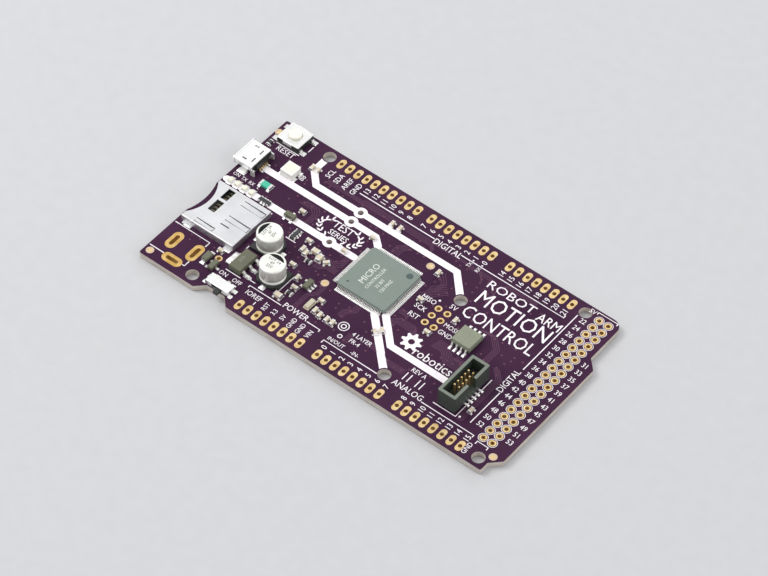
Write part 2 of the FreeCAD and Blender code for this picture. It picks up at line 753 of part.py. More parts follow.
def latch_rod():
    """The bent wire pin that drops into the slider's heart-shaped track."""
    y0 = LATCH_Y
    y1 = LATCH_Y + LATCH_WIRE
    pin_end = LATCH_PIN_X + LATCH_WIRE
    rod = box(LATCH_X, pin_end, y0, y1, LATCH_Z, LATCH_Z + LATCH_WIRE)
    pin = box(LATCH_PIN_X, pin_end, y0, y1, LATCH_Z - LATCH_WIRE, LATCH_Z)
    heel = box(LATCH_X, LATCH_X + LATCH_WIRE, y0, y1, CARD_FLOOR_T, LATCH_Z)
    return rod.multiFuse([pin, heel]).removeSplitter()


def detect_leaf():
    """The leaf that the card closes against its stop, on the far rail."""
    x1 = CARD_BACK - BACK_WALL_T - SLIDE_GAP
    y = CARD_BAY_FAR - 0.5
    tail_length, tail_width = LEAF_TAIL
    arm = box(x1 - LEAF_LENGTH, x1, y, y + LEAF_T, *LEAF_Z)
    tail = box(x1 - tail_length, x1, y - tail_width, y, CARD_FLOOR_T, CARD_FLOOR_T + LEAF_T)
    return arm.fuse(tail)


save("card_socket_shell", [on_board(card_shell(), CARD_SPOT)])
save("card_socket_base", [on_board(card_base(), CARD_SPOT)])
save("card_socket_contacts", [on_board(contact, CARD_SPOT) for contact in card_contacts()])
save("card_eject_slider", [on_board(card_slider(), CARD_SPOT)])
save("card_eject_spring", [on_board(card_spring(), CARD_SPOT)])
save("card_latch_rod", [on_board(latch_rod(), CARD_SPOT)])
save("card_detect_leaf", [on_board(detect_leaf(), CARD_SPOT)])


# ---------------------------------------------------------------- reset button

BUTTON_CORNER_R = 0.3
BUTTON_RIM_R = 0.06
BUTTON_FOLD_WIDTH = 2.6
BUTTON_FOLD_DEPTH = 0.9
BUTTON_FLOOR = 0.35
PLUNGER_FLANGE_R = PLUNGER_R + 0.45
PLUNGER_RIM = 0.2
FLANGE_TOP = BUTTON_BODY_H - BUTTON_SHEET_T - SLIDE_GAP
FLANGE_BOTTOM = FLANGE_TOP - 0.35
DOME_R = PLUNGER_R + 0.2
DOME_T = 0.07
DOME_GAP = 0.03
DOME_SHOULDERS = [(0.45, 0.8), (0.8, 0.3)]
BUTTON_LEAD_SPREAD = 4.4
BUTTON_LEAD_REACH = 1.2
BUTTON_LEAD_Z = 0.6
BUTTON_LEAD_WIDTH = 0.8
BUTTON_LEAD_T = 0.2
BUTTON_LEAD_FOOT = 0.75


def button_base():
    """A square moulded tray with a round well."""
    body = block(BUTTON_LENGTH, BUTTON_WIDTH, STAND_OFF, BUTTON_BODY_H - BUTTON_SHEET_T)
    body = rounded_upright(body, BUTTON_CORNER_R)
    return body.cut(cylinder(PLUNGER_FLANGE_R + SLIDE_GAP, BUTTON_FLOOR, BUTTON_BODY_H + PAST))


def button_cover():
    """The flat steel cover plate, open round the plunger and folded down at two sides."""
    plate = block(BUTTON_LENGTH, BUTTON_WIDTH, BUTTON_BODY_H - BUTTON_SHEET_T, BUTTON_BODY_H)
    plate = rounded_upright(plate, BUTTON_CORNER_R)
    plate = plate.makeFillet(BUTTON_RIM_R, edges_at_top(plate, BUTTON_BODY_H))
    half = BUTTON_FOLD_WIDTH / 2
    low = BUTTON_BODY_H - BUTTON_FOLD_DEPTH
    high = BUTTON_BODY_H - BUTTON_RIM_R
    folds = []
    for side in (-1, 1):
        y0, y1 = between(side, BUTTON_WIDTH / 2, BUTTON_WIDTH / 2 + BUTTON_SHEET_T)
        folds.append(box(-half, half, y0, y1, low, high))
    return plate.multiFuse(folds).cut(cylinder(PLUNGER_R + SLIDE_GAP, 0, BUTTON_BODY_H + PAST))


def button_plunger():
    """The round plunger, with a rounded rim and a flange that the cover holds in."""
    profile = [
        (0, FLANGE_BOTTOM),
        (PLUNGER_FLANGE_R, FLANGE_BOTTOM),
        (PLUNGER_FLANGE_R, FLANGE_TOP),
        (PLUNGER_R, FLANGE_TOP),
        (PLUNGER_R, PLUNGER_TOP),
        (0, PLUNGER_TOP),
    ]
    plunger = turned(profile)
    return plunger.makeFillet(PLUNGER_RIM, edges_at_top(plunger, PLUNGER_TOP))


def button_dome():
    """The snap dome under the plunger: a shallow pressed cap."""
    crown = FLANGE_BOTTOM - DOME_GAP
    rise = crown - DOME_T - BUTTON_FLOOR
    under = [(0, crown - DOME_T)]
    under += [(DOME_R * out, BUTTON_FLOOR + up * rise) for out, up in DOME_SHOULDERS]
    under += [(DOME_R, BUTTON_FLOOR)]
    return turned(under + [(r, z + DOME_T) for r, z in reversed(under)])


def button_terminals():
    """Two bent terminals out of each short side."""
    root = BUTTON_LENGTH / 2
    tip = root + BUTTON_LEAD_REACH
    lead = gull_lead(root, tip, BUTTON_LEAD_Z, BUTTON_LEAD_WIDTH, BUTTON_LEAD_T, BUTTON_LEAD_FOOT)
    half = BUTTON_LEAD_SPREAD / 2
    return [moved(lead, angle=turn, y=y) for turn in (0, 180) for y in (-half, half)]


save("reset_button_base", [on_board(button_base(), BUTTON_SPOT)])
save("reset_button_cover", [on_board(button_cover(), BUTTON_SPOT)])
save("reset_button_plunger", [on_board(button_plunger(), BUTTON_SPOT)])
save("reset_button_dome", [on_board(button_dome(), BUTTON_SPOT)])
save("reset_button_terminals", [on_board(lead, BUTTON_SPOT) for lead in button_terminals()])


# ---------------------------------------------------------------- slide power switch

SWITCH_BEND_R = 0.2
SWITCH_TAB_REACH = 0.65
SWITCH_TAB_WIDTH = 0.6
SWITCH_TAB_INSET = 0.35
SWITCH_FLOOR = 0.25
KNOB_Z = (0.35, 1.05)
KNOB_CHAMFER = 0.12
KNOB_REST = KNOB_TRAVEL / 2
CARRIER_LENGTH = 3.0
CARRIER_DEPTH = 1.1
WIPER_LENGTH = 2.2
WIPER_T = 0.12
WIPER_Z = (0.5, 0.8)
WIPER_SLOT_DEPTH = 0.45
WIPER_SLOT_Z = (0.45, 0.85)
SWITCH_LEADS_X = (-2.25, 0.75, 2.25)
SWITCH_LEAD_REACH = 0.9
SWITCH_LEAD_Z = 0.35
SWITCH_LEAD_WIDTH = 0.5
SWITCH_LEAD_FOOT = 0.6
SWITCH_PEG_LENGTH = 1.15

SWITCH_FRONT = SWITCH_SHEET_T + FIT - SWITCH_DEPTH / 2
CARRIER_FRONT = SWITCH_FRONT + SLIDE_GAP
CARRIER_BACK = CARRIER_FRONT + CARRIER_DEPTH


def switch_cover():
    """The folded steel cover: top, ends and front, with a window for the knob."""
    x, y = SWITCH_LENGTH / 2, SWITCH_DEPTH / 2
    inner_x = x - SWITCH_SHEET_T
    inner_y = SWITCH_SHEET_T - y
    cover = box(-x, x, -y, y, STAND_OFF, SWITCH_HEIGHT)
    bends = [e for e in edges_at_top(cover, SWITCH_HEIGHT) if e.CenterOfMass.y < y - SAME]
    cover = cover.makeFillet(SWITCH_BEND_R, bends)
    cover = cover.cut(box(-inner_x, inner_x, inner_y, y + PAST, -PAST, SWITCH_HEIGHT - SWITCH_SHEET_T))
    window = (KNOB_TRAVEL + KNOB_WIDTH) / 2 + SLIDE_GAP
    low, high = KNOB_Z
    cover = cover.cut(box(-window, window, -y - PAST, inner_y + FIT, low - SLIDE_GAP, high + SLIDE_GAP))
    tabs = []
    for side in (-1, 1):
        x0, x1 = between(side, x, x + SWITCH_TAB_REACH)
        for middle in (SWITCH_TAB_INSET - y, y - SWITCH_TAB_INSET):
            half = SWITCH_TAB_WIDTH / 2
            tabs.append(box(x0, x1, middle - half, middle + half, 0, SWITCH_SHEET_T))
    return cover.multiFuse(tabs).removeSplitter()


def switch_base():
    """The moulded base: a tray under the cover, with two pegs into the board."""
    x = SWITCH_LENGTH / 2 - SWITCH_SHEET_T - FIT
    top = SWITCH_HEIGHT - SWITCH_SHEET_T - FIT
    tray = box(-x, x, SWITCH_FRONT, SWITCH_DEPTH / 2, STAND_OFF, top)
    bay = (CARRIER_LENGTH + KNOB_TRAVEL) / 2 + SLIDE_GAP
    bay_back = CARRIER_BACK + SLIDE_GAP
    tray = tray.cut(box(-bay, bay, SWITCH_FRONT - PAST, bay_back, SWITCH_FLOOR, top + PAST))
    tray = tray.cut(box(-bay, bay, bay_back - FIT, bay_back + WIPER_SLOT_DEPTH, *WIPER_SLOT_Z))
    low = STAND_OFF - SWITCH_PEG_LENGTH
    pegs = [cylinder(SWITCH_PEG_R, low, STAND_OFF, side * SWITCH_PEG_SPREAD) for side in (-1, 1)]
    return tray.multiFuse(pegs)


def switch_knob():
    """The sliding knob and its carrier inside, resting at the off end."""
    half = CARRIER_LENGTH / 2
    top = SWITCH_HEIGHT - SWITCH_SHEET_T - SLIDE_GAP
    carrier = box(-half, half, CARRIER_FRONT, CARRIER_BACK, SWITCH_FLOOR + SLIDE_GAP, top)
    front = -SWITCH_DEPTH / 2 - KNOB_REACH
    stem = box(-KNOB_WIDTH / 2, KNOB_WIDTH / 2, front, CARRIER_FRONT, *KNOB_Z)
    stem = stem.makeChamfer(KNOB_CHAMFER, [e for e in stem.Edges if e.CenterOfMass.y < front + SAME])
    return moved(carrier.fuse(stem).removeSplitter(), x=KNOB_REST)


def switch_wiper():
    """The sprung bridge on the back of the carrier that joins two contacts at a time."""
    half = WIPER_LENGTH / 2
    return moved(box(-half, half, CARRIER_BACK, CARRIER_BACK + WIPER_T, *WIPER_Z), x=KNOB_REST)


def switch_terminals():
    """Three contacts set in the base, each with a foot behind the switch."""
    root = SWITCH_DEPTH / 2
    tip = root + SWITCH_LEAD_REACH
    foot = gull_lead(root, tip, SWITCH_LEAD_Z, SWITCH_LEAD_WIDTH, SWITCH_SHEET_T, SWITCH_LEAD_FOOT)
    return [moved(foot, x=x, angle=90) for x in SWITCH_LEADS_X]


save("power_switch_cover", [on_board(switch_cover(), SWITCH_SPOT)])
save("power_switch_base", [on_board(switch_base(), SWITCH_SPOT)])
save("power_switch_knob", [on_board(switch_knob(), SWITCH_SPOT)])
save("power_switch_wiper", [on_board(switch_wiper(), SWITCH_SPOT)])
save("power_switch_terminals", [on_board(lead, SWITCH_SPOT) for lead in switch_terminals()])


# ---------------------------------------------------------------- chips with gull-wing leads

MCU_LEAD_Z = MCU_HEIGHT / 2 + 0.05
MCU_LEAD_WIDTH = 0.18
MCU_LEAD_T = 0.12
MCU_LEAD_FOOT = 0.75
MCU_CLIP = 0.5
MCU_DIMPLE_R = 0.85
MCU_SMALL_DIMPLE_R = 0.3
MCU_DIMPLE_DEPTH = 0.06
MCU_DIMPLE_INSET = 1.95
CHIP_LIFT = 0.1


def lead_row(count, pitch, lead):
    """Copies of a lead side by side along y."""
    return [moved(lead, y=(i - (count - 1) / 2) * pitch) for i in range(count)]


def both_sides(leads):
    """A row of leads, and its copy out of the other side."""
    return [moved(lead, angle=turn) for turn in (0, 180) for lead in leads]


def mcu_body():
    """The microcontroller's square body, with two round marks moulded in its top."""
    body = moulded_body(MCU_SIZE, MCU_SIZE, CHIP_LIFT, MCU_HEIGHT, corner=MCU_CLIP)
    floor = MCU_HEIGHT - MCU_DIMPLE_DEPTH
    place = MCU_SIZE / 2 - MCU_DIMPLE_INSET
    body = body.cut(cylinder(MCU_DIMPLE_R, floor, MCU_HEIGHT + PAST, place, place))
    return body.cut(cylinder(MCU_SMALL_DIMPLE_R, floor, MCU_HEIGHT + PAST, -place, -place))


def mcu_leads():
    """The microcontroller's leads, one row out of each side."""
    root = MCU_SIZE / 2
    tip = root + MCU_LEAD_REACH
    lead = gull_lead(root, tip, MCU_LEAD_Z, MCU_LEAD_WIDTH, MCU_LEAD_T, MCU_LEAD_FOOT)
    count = int((MCU_SIZE - 2 * MCU_BARE_CORNER) / MCU_LEAD_PITCH + SAME) + 1
    side = lead_row(count, MCU_LEAD_PITCH, lead)
    return [moved(lead, angle=turn) for turn in (0, 90, 180, 270) for lead in side]


save("microcontroller_body", [on_board(mcu_body(), MCU_SPOT)])
save("microcontroller_leads", [on_board(lead, MCU_SPOT) for lead in mcu_leads()])

FLASH_SPOT = (MCU_SPOT[0] + 26.35, 26.9, 90)
FLASH_SIZE = 5.25
FLASH_HEIGHT = 1.75
FLASH_LEAD_COUNT = 4
FLASH_LEAD_PITCH = 1.27
FLASH_LEAD_REACH = 1.35
FLASH_LEAD_Z = 0.9
FLASH_LEAD_WIDTH = 0.42
FLASH_LEAD_T = 0.18
FLASH_LEAD_FOOT = 0.7

flash_body = moulded_body(FLASH_SIZE, FLASH_SIZE, CHIP_LIFT, FLASH_HEIGHT)
flash_lead = gull_lead(
    FLASH_SIZE / 2,
    FLASH_SIZE / 2 + FLASH_LEAD_REACH,
    FLASH_LEAD_Z,
    FLASH_LEAD_WIDTH,
    FLASH_LEAD_T,
    FLASH_LEAD_FOOT,
)
flash_leads = both_sides(lead_row(FLASH_LEAD_COUNT, FLASH_LEAD_PITCH, flash_lead))
save("flash_memory_body", [on_board(flash_body, FLASH_SPOT)])
save("flash_memory_leads", [on_board(lead, FLASH_SPOT) for lead in flash_leads])

REGULATOR_SPOT = (20.95, 12.3)
REGULATOR_LENGTH = 3.5
REGULATOR_WIDTH = 6.5
REGULATOR_HEIGHT = 1.65
REGULATOR_FOOT_PITCH = 2.3
REGULATOR_FOOT_REACH = 1.85
REGULATOR_FOOT_WIDTH = 0.75
REGULATOR_TAB_WIDTH = 3.1
REGULATOR_LEAD_Z = 0.85
REGULATOR_LEAD_T = 0.28
REGULATOR_LEAD_FOOT = 1.0


def regulator_lead(width):
    """A lead or tab out of the regulator's long side."""
    root = REGULATOR_LENGTH / 2
    tip = root + REGULATOR_FOOT_REACH
    return gull_lead(root, tip, REGULATOR_LEAD_Z, width, REGULATOR_LEAD_T, REGULATOR_LEAD_FOOT)


regulator_body = moulded_body(REGULATOR_LENGTH, REGULATOR_WIDTH, CHIP_LIFT, REGULATOR_HEIGHT)
regulator_leads = lead_row(3, REGULATOR_FOOT_PITCH, regulator_lead(REGULATOR_FOOT_WIDTH))
regulator_leads.append(moved(regulator_lead(REGULATOR_TAB_WIDTH), angle=180))
save("voltage_regulator_body", [on_board(regulator_body, REGULATOR_SPOT)])
save("voltage_regulator_leads", [on_board(lead, REGULATOR_SPOT) for lead in regulator_leads])

TRANSISTOR_SPOTS = [(20.1, 30.3, 90), (16.05, 7.5, 0)]
LOGIC_SPOT = (36.5, 16.85)
SMALL_BODY_LENGTH = 1.4
SMALL_BODY_WIDTH = 2.9
SMALL_BODY_HEIGHT = 1.05
SMALL_BODY_DRAFT = 0.08
SMALL_LEAD_REACH = 0.65
SMALL_LEAD_Z = 0.55
SMALL_LEAD_WIDTH = 0.4
SMALL_LEAD_T = 0.12
SMALL_LEAD_FOOT = 0.4
SMALL_LEAD_PITCH = 0.95

small_body = moulded_body(
    SMALL_BODY_LENGTH,
    SMALL_BODY_WIDTH,
    CHIP_LIFT,
    SMALL_BODY_HEIGHT,
    SMALL_BODY_DRAFT,
)
small_lead = gull_lead(
    SMALL_BODY_LENGTH / 2,
    SMALL_BODY_LENGTH / 2 + SMALL_LEAD_REACH,
    SMALL_LEAD_Z,
    SMALL_LEAD_WIDTH,
    SMALL_LEAD_T,
    SMALL_LEAD_FOOT,
)
outer_pair = [moved(lead, angle=180) for lead in lead_row(2, 2 * SMALL_LEAD_PITCH, small_lead)]
transistor_leads = [small_lead] + outer_pair
logic_leads = lead_row(3, SMALL_LEAD_PITCH, small_lead) + outer_pair
small_spots = TRANSISTOR_SPOTS + [LOGIC_SPOT]
lead_shapes = [on_board(lead, spot) for spot in TRANSISTOR_SPOTS for lead in transistor_leads]
lead_shapes += [on_board(lead, LOGIC_SPOT) for lead in logic_leads]
save("transistor_bodies", [on_board(small_body, spot) for spot in small_spots])
save("transistor_leads", lead_shapes)

DIODE_SPOT = (13.35, 8.55, 90)
DIODE_LENGTH = 2.7
DIODE_WIDTH = 1.7
DIODE_HEIGHT = 1.1
DIODE_LEAD_REACH = 0.6
DIODE_LEAD_Z = 0.58
DIODE_LEAD_WIDTH = 1.0
DIODE_LEAD_T = 0.15
DIODE_LEAD_FOOT = 0.4

diode_body = moulded_body(DIODE_LENGTH, DIODE_WIDTH, CHIP_LIFT, DIODE_HEIGHT)
diode_lead = gull_lead(
    DIODE_LENGTH / 2,
    DIODE_LENGTH / 2 + DIODE_LEAD_REACH,
    DIODE_LEAD_Z,
    DIODE_LEAD_WIDTH,
    DIODE_LEAD_T,
    DIODE_LEAD_FOOT,
)
save("diode_body", [on_board(diode_body, DIODE_SPOT)])
save("diode_leads", [on_board(lead, DIODE_SPOT) for lead in both_sides([diode_lead])])


# ---------------------------------------------------------------- electrolytic capacitors

CAN_CORNER = 1.3
CAN_TOP_R = 0.35
CAN_FOOT_R = 0.12
CAN_CRIMP_DEPTH = 0.22
CAN_CRIMP_Z = CAN_BASE_T + 0.78
CAN_CRIMP_HALF = 0.33
CAN_LEAD_WIDTH = 0.8
CAN_LEAD_T = 0.2
CAN_LEAD_ROOT = 1.3
CAN_LEAD_REACH = 0.7


def capacitor_can():
    """The drawn aluminium can, crimped above its base and rounded at the top."""
    profile = [
        (0, CAN_BASE_T),
        (CAN_R, CAN_BASE_T),
        (CAN_R, CAN_CRIMP_Z - CAN_CRIMP_HALF),
        (CAN_R - CAN_CRIMP_DEPTH, CAN_CRIMP_Z),
        (CAN_R, CAN_CRIMP_Z + CAN_CRIMP_HALF),
        (CAN_R, CAN_TOP),
        (0, CAN_TOP),
    ]
    can = turned(profile)
    can = can.makeFillet(CAN_TOP_R, edges_at_top(can, CAN_TOP))
    return can.makeFillet(CAN_FOOT_R, edges_at_top(can, CAN_BASE_T))


def capacitor_base():
    """The square moulded base with two clipped corners and a groove under it for each lead."""
    half = CAN_BASE / 2
    outline = [
        (CAN_CORNER - half, -half),
        (half - CAN_CORNER, -half),
        (half, CAN_CORNER - half),
        (half, half),
        (-half, half),
        (-half, CAN_CORNER - half),
    ]
    base = prism(outline, STAND_OFF, CAN_BASE_T)
    groove = CAN_LEAD_WIDTH / 2 + SLIDE_GAP
    for side in (-1, 1):
        y0, y1 = between(side, CAN_LEAD_ROOT - SLIDE_GAP, half + PAST)
        base = base.cut(box(-groove, groove, y0, y1, -PAST, CAN_LEAD_T + FIT))
    return base


def capacitor_leads():
    """A flat lead out of each end of the base."""
    half = CAN_LEAD_WIDTH / 2
    leads = []
    for side in (-1, 1):
        y0, y1 = between(side, CAN_LEAD_ROOT, CAN_BASE / 2 + CAN_LEAD_REACH)
        leads.append(box(-half, half, y0, y1, 0, CAN_LEAD_T))
    return leads


save("capacitor_cans", [on_board(capacitor_can(), spot) for spot in CAN_SPOTS])
save("capacitor_bases", [on_board(capacitor_base(), spot) for spot in CAN_SPOTS])
save("capacitor_leads", [on_board(lead, spot) for spot in CAN_SPOTS for lead in capacitor_leads()])


# ---------------------------------------------------------------- chip parts

SMALL_CHIP = (1.6, 0.85)
LARGE_CHIP = (2.0, 1.25)
CAPACITOR_H = 0.8
LARGE_CAPACITOR_H = 1.0
RESISTOR_H = 0.5
TERMINAL_SHARE = 0.19
CAP_T = 0.02
CAP_R = 0.06
CAPACITOR_SPOTS = [
    (28.3, 27.3, 0),
    (28.7, 24.5, 90),
    (30.0, 23.9, 90),
    (35.5, 24.6, 45),
    (29.9, 19.4, 0),
    (33.2, 16.9, 90),
    (34.6, 14.3, 0),
    (41.8, 15.1, 0),
    (42.5, 12.0, 90),
    (44.2, 11.6, 90),
    (46.2, 11.6, 90),
    (47.8, 11.6, 90),
    (39.8, 43.5, 90),
    (42.1, 43.5, 90),
    (57.2, 38.6, 90),
    (68.9, 29.9, 90),
    (66.0, 23.2, 0),
    (58.9, 29.9, 0),
    (36.4, 30.1, 0),
    (39.1, 37.4, 0),
    (57.9, 17.0, -45),
    (56.9, 15.7, -45),
    (14.4, 45.4, 90),
    (16.0, 45.4, 90),
    (14.5, 12.1, 0),
    (21.4, 33.3, 0),
    (right(14.1), 11.7, 90),
]
LARGE_CAPACITOR_SPOTS = [(33.2, 10.0, 0), (31.6, 25.6, 0), (33.5, 24.6, 90)]
RESISTOR_SPOTS = [(31.9, 22.5, 0), (34.6, 12.3, 0), (1.5, 45.3, 90)]


def chip(size, height):
    """A block part: its body, and a metal cap over each end."""
    length, width = size
    cap = length * TERMINAL_SHARE
    body = block(length - 2 * cap, width - 2 * CAP_T, CAP_T, height - CAP_T)
    end = block(cap, width, 0, height, (length - cap) / 2)
    end = end.makeFillet(CAP_R, [e for e in end.Edges if e.CenterOfMass.x > length / 2 - SAME])
    return body, both_sides([end])


small_chip = chip(SMALL_CHIP, CAPACITOR_H)
large_chip = chip(LARGE_CHIP, LARGE_CAPACITOR_H)
resistor_chip = chip(SMALL_CHIP, RESISTOR_H)
capacitors = [(small_chip, spot) for spot in CAPACITOR_SPOTS]
capacitors += [(large_chip, spot) for spot in LARGE_CAPACITOR_SPOTS]
resistors = [(resistor_chip, spot) for spot in RESISTOR_SPOTS]
caps = [on_board(cap, spot) for (body, ends), spot in capacitors + resistors for cap in ends]
save("ceramic_capacitor_bodies", [on_board(body, spot) for (body, ends), spot in capacitors])
save("resistor_bodies", [on_board(body, spot) for (body, ends), spot in resistors])
save("chip_terminals", caps)

FUSE_SPOT = (9.55, 34.1)
FUSE_SIZE = (3.2, 1.65)
FUSE_HEIGHT = 0.75

fuse_body, fuse_caps = chip(FUSE_SIZE, FUSE_HEIGHT)
save("fuse_body", [on_board(fuse_body, FUSE_SPOT)])
save("fuse_terminals", [on_board(cap, FUSE_SPOT) for cap in fuse_caps])

ARRAY_SPOTS = [(12.5, 30.1, 0), (24.55, 26.9, 90)]
ARRAY_PITCH = 0.8
ARRAY_LENGTH = 3.2
ARRAY_WIDTH = 1.1
ARRAY_COUNT = 4
ARRAY_END = (0.3, 0.42)


def resistor_array():
    """Four resistors in one block, with a terminal at each end of each one."""
    reach, width = ARRAY_END
    body = block(ARRAY_WIDTH, ARRAY_LENGTH, CAP_T, RESISTOR_H)
    end = block(reach, width, 0, RESISTOR_H, (ARRAY_WIDTH + reach) / 2)
    ends = both_sides(lead_row(ARRAY_COUNT, ARRAY_PITCH, end))
    return moved(body, angle=90), [moved(piece, angle=90) for piece in ends]


array_body, array_ends = resistor_array()
save("resistor_array_bodies", [on_board(array_body, spot) for spot in ARRAY_SPOTS])
save("resistor_array_terminals", [on_board(end, spot) for spot in ARRAY_SPOTS for end in array_ends])

CRYSTAL_SPOT = (40.45, 12.6, 90)
CRYSTAL_LENGTH = 3.2
CRYSTAL_WIDTH = 1.5
CRYSTAL_BASE_H = 0.35
CRYSTAL_HEIGHT = 0.8
CRYSTAL_LID_INSET = 0.15
CRYSTAL_LID_R = 0.25

crystal_base = block(CRYSTAL_LENGTH, CRYSTAL_WIDTH, 0, CRYSTAL_BASE_H)
lid_length = CRYSTAL_LENGTH - 2 * CRYSTAL_LID_INSET
lid_width = CRYSTAL_WIDTH - 2 * CRYSTAL_LID_INSET
crystal_lid = rounded_upright(block(lid_length, lid_width, CRYSTAL_BASE_H, CRYSTAL_HEIGHT), CRYSTAL_LID_R)
save("crystal_base", [on_board(crystal_base, CRYSTAL_SPOT)])
save("crystal_lid", [on_board(crystal_lid, CRYSTAL_SPOT)])


# ---------------------------------------------------------------- lamps

LAMPS_X = (2.1, 4.2, 6.35, 8.5)
LAMPS_Y = 30.2
LAMP_BASE_LENGTH = 1.0
LAMP_BASE_WIDTH = 1.2
LAMP_BASE_H = 0.3
LAMP_END_LENGTH = 0.5
LAMP_LENS_LENGTH = 1.3
LAMP_LENS_H = 0.75
LAMP_LENS_CHAMFER = 0.12

lamp_spots = [(x, LAMPS_Y, 90) for x in LAMPS_X]
lamp_base = block(LAMP_BASE_LENGTH, LAMP_BASE_WIDTH, CAP_T, LAMP_BASE_H)
lamp_end_x = (LAMP_BASE_LENGTH + LAMP_END_LENGTH) / 2
lamp_end = block(LAMP_END_LENGTH, LAMP_BASE_WIDTH, 0, LAMP_BASE_H, lamp_end_x)
lamp_lens = block(LAMP_LENS_LENGTH, LAMP_BASE_WIDTH - FIT, LAMP_BASE_H, LAMP_LENS_H)
lamp_lens = lamp_lens.makeChamfer(LAMP_LENS_CHAMFER, edges_at_top(lamp_lens, LAMP_LENS_H))
save("indicator_lamp_bases", [on_board(lamp_base, spot) for spot in lamp_spots])
save("indicator_lamp_lenses", [on_board(lamp_lens, spot) for spot in lamp_spots])
save(
    "indicator_lamp_terminals",
    [on_board(end, spot) for spot in lamp_spots for end in both_sides([lamp_end])],
)

COLOUR_LAMP_SPOT = (11.45, 40.85)
COLOUR_LAMP_SIZE = 3.5
COLOUR_LAMP_H = 1.9
COLOUR_LAMP_CORNER_R = 0.15
COLOUR_WELL_R = 1.5
COLOUR_WELL_DEPTH = 0.6
COLOUR_LEAD_SPREAD = 2.2
COLOUR_LEAD_REACH = 0.5
COLOUR_LEAD_Z = 0.35
COLOUR_LEAD_WIDTH = 0.8
COLOUR_LEAD_T = 0.12
COLOUR_LEAD_FOOT = 0.2

colour_case = block(COLOUR_LAMP_SIZE, COLOUR_LAMP_SIZE, CHIP_LIFT, COLOUR_LAMP_H)
colour_case = rounded_upright(colour_case, COLOUR_LAMP_CORNER_R)
well_floor = COLOUR_LAMP_H - COLOUR_WELL_DEPTH
colour_case = colour_case.cut(cylinder(COLOUR_WELL_R, well_floor, COLOUR_LAMP_H + PAST))
colour_lens = cylinder(COLOUR_WELL_R, well_floor, COLOUR_LAMP_H - FIT)
colour_lead = gull_lead(
    COLOUR_LAMP_SIZE / 2,
    COLOUR_LAMP_SIZE / 2 + COLOUR_LEAD_REACH,
    COLOUR_LEAD_Z,
    COLOUR_LEAD_WIDTH,
    COLOUR_LEAD_T,
    COLOUR_LEAD_FOOT,
)
colour_leads = both_sides(lead_row(2, COLOUR_LEAD_SPREAD, colour_lead))
save("colour_lamp_case", [on_board(colour_case, COLOUR_LAMP_SPOT)])
save("colour_lamp_lens", [on_board(colour_lens, COLOUR_LAMP_SPOT)])
save("colour_lamp_leads", [on_board(lead, COLOUR_LAMP_SPOT) for lead in colour_leads])


# ---------------------------------------------------------------- boxed debug header

DEBUG_FLOOR = 1.3
DEBUG_EDGE = 0.2
DEBUG_KEY_WIDTH = 2.6
DEBUG_KEY_FLOOR = 1.8
DEBUG_STANDOFF = 0.3
DEBUG_FOOT = 0.9
DEBUG_FOOT_INSET = (0.6, 0.9)
DEBUG_PIN_TOP = 4.7
DEBUG_PIN_POINT = 0.1
DEBUG_TAIL_REACH = 0.9
DEBUG_TAIL_T = 0.2


def debug_pin_places():
    """Two columns of pins on the fine pitch."""
    middle = (DEBUG_PIN_ROWS - 1) / 2
    rows = [(i - middle) * DEBUG_PITCH for i in range(DEBUG_PIN_ROWS)]
    return [(side * DEBUG_PITCH / 2, y) for y in rows for side in (-1, 1)]


def debug_box():
    """The open moulded box, with a key slot in one long wall and four feet under it."""
    walls = block(DEBUG_WIDTH, DEBUG_LENGTH, DEBUG_STANDOFF, DEBUG_HEIGHT)
    walls = walls.makeChamfer(DEBUG_EDGE, edges_along(walls, 2))
    inner = (DEBUG_WIDTH - 2 * DEBUG_WALL, DEBUG_LENGTH - 2 * DEBUG_WALL)
    key = DEBUG_KEY_WIDTH / 2
    cuts = [
        block(*inner, DEBUG_FLOOR, DEBUG_HEIGHT + PAST),
        box(0, DEBUG_WIDTH, -key, key, DEBUG_KEY_FLOOR, DEBUG_HEIGHT + PAST),
    ]
    cuts += [block(DEBUG_PIN, DEBUG_PIN, -PAST, DEBUG_FLOOR + PAST, x, y) for x, y in debug_pin_places()]
    inset_x, inset_y = DEBUG_FOOT_INSET
    feet = []
    for side in (-1, 1):
        for end in (-1, 1):
            x = side * (DEBUG_WIDTH / 2 - inset_x)
            y = end * (DEBUG_LENGTH / 2 - inset_y)
            feet.append(block(DEBUG_FOOT, DEBUG_FOOT, 0, DEBUG_STANDOFF, x, y))
    for cut in cuts:
        walls = walls.cut(cut)
    return walls.multiFuse(feet).removeSplitter()


def debug_pins():
    """Square pins, each bent out under the box to a foot beside it."""
    half = DEBUG_PIN / 2
    pins = []
    for x, y in debug_pin_places():
        side = math.copysign(1, x)
        stem = block(DEBUG_PIN, DEBUG_PIN, 0, DEBUG_PIN_TOP, x, y)
        stem = stem.makeChamfer(DEBUG_PIN_POINT, edges_at_top(stem, DEBUG_PIN_TOP))
        x0, x1 = between(side, abs(x) + half, DEBUG_WIDTH / 2 + DEBUG_TAIL_REACH)
        tail = box(x0, x1, y - half, y + half, 0, DEBUG_TAIL_T)
        pins.append(stem.fuse(tail).removeSplitter())
    return pins


save("debug_header_box", [on_board(debug_box(), DEBUG_SPOT)])
save("debug_header_pins", [on_board(pin, DEBUG_SPOT) for pin in debug_pins()])
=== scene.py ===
import bmesh
import bpy
import math
import random
from mathutils import Matrix, Vector, geometry


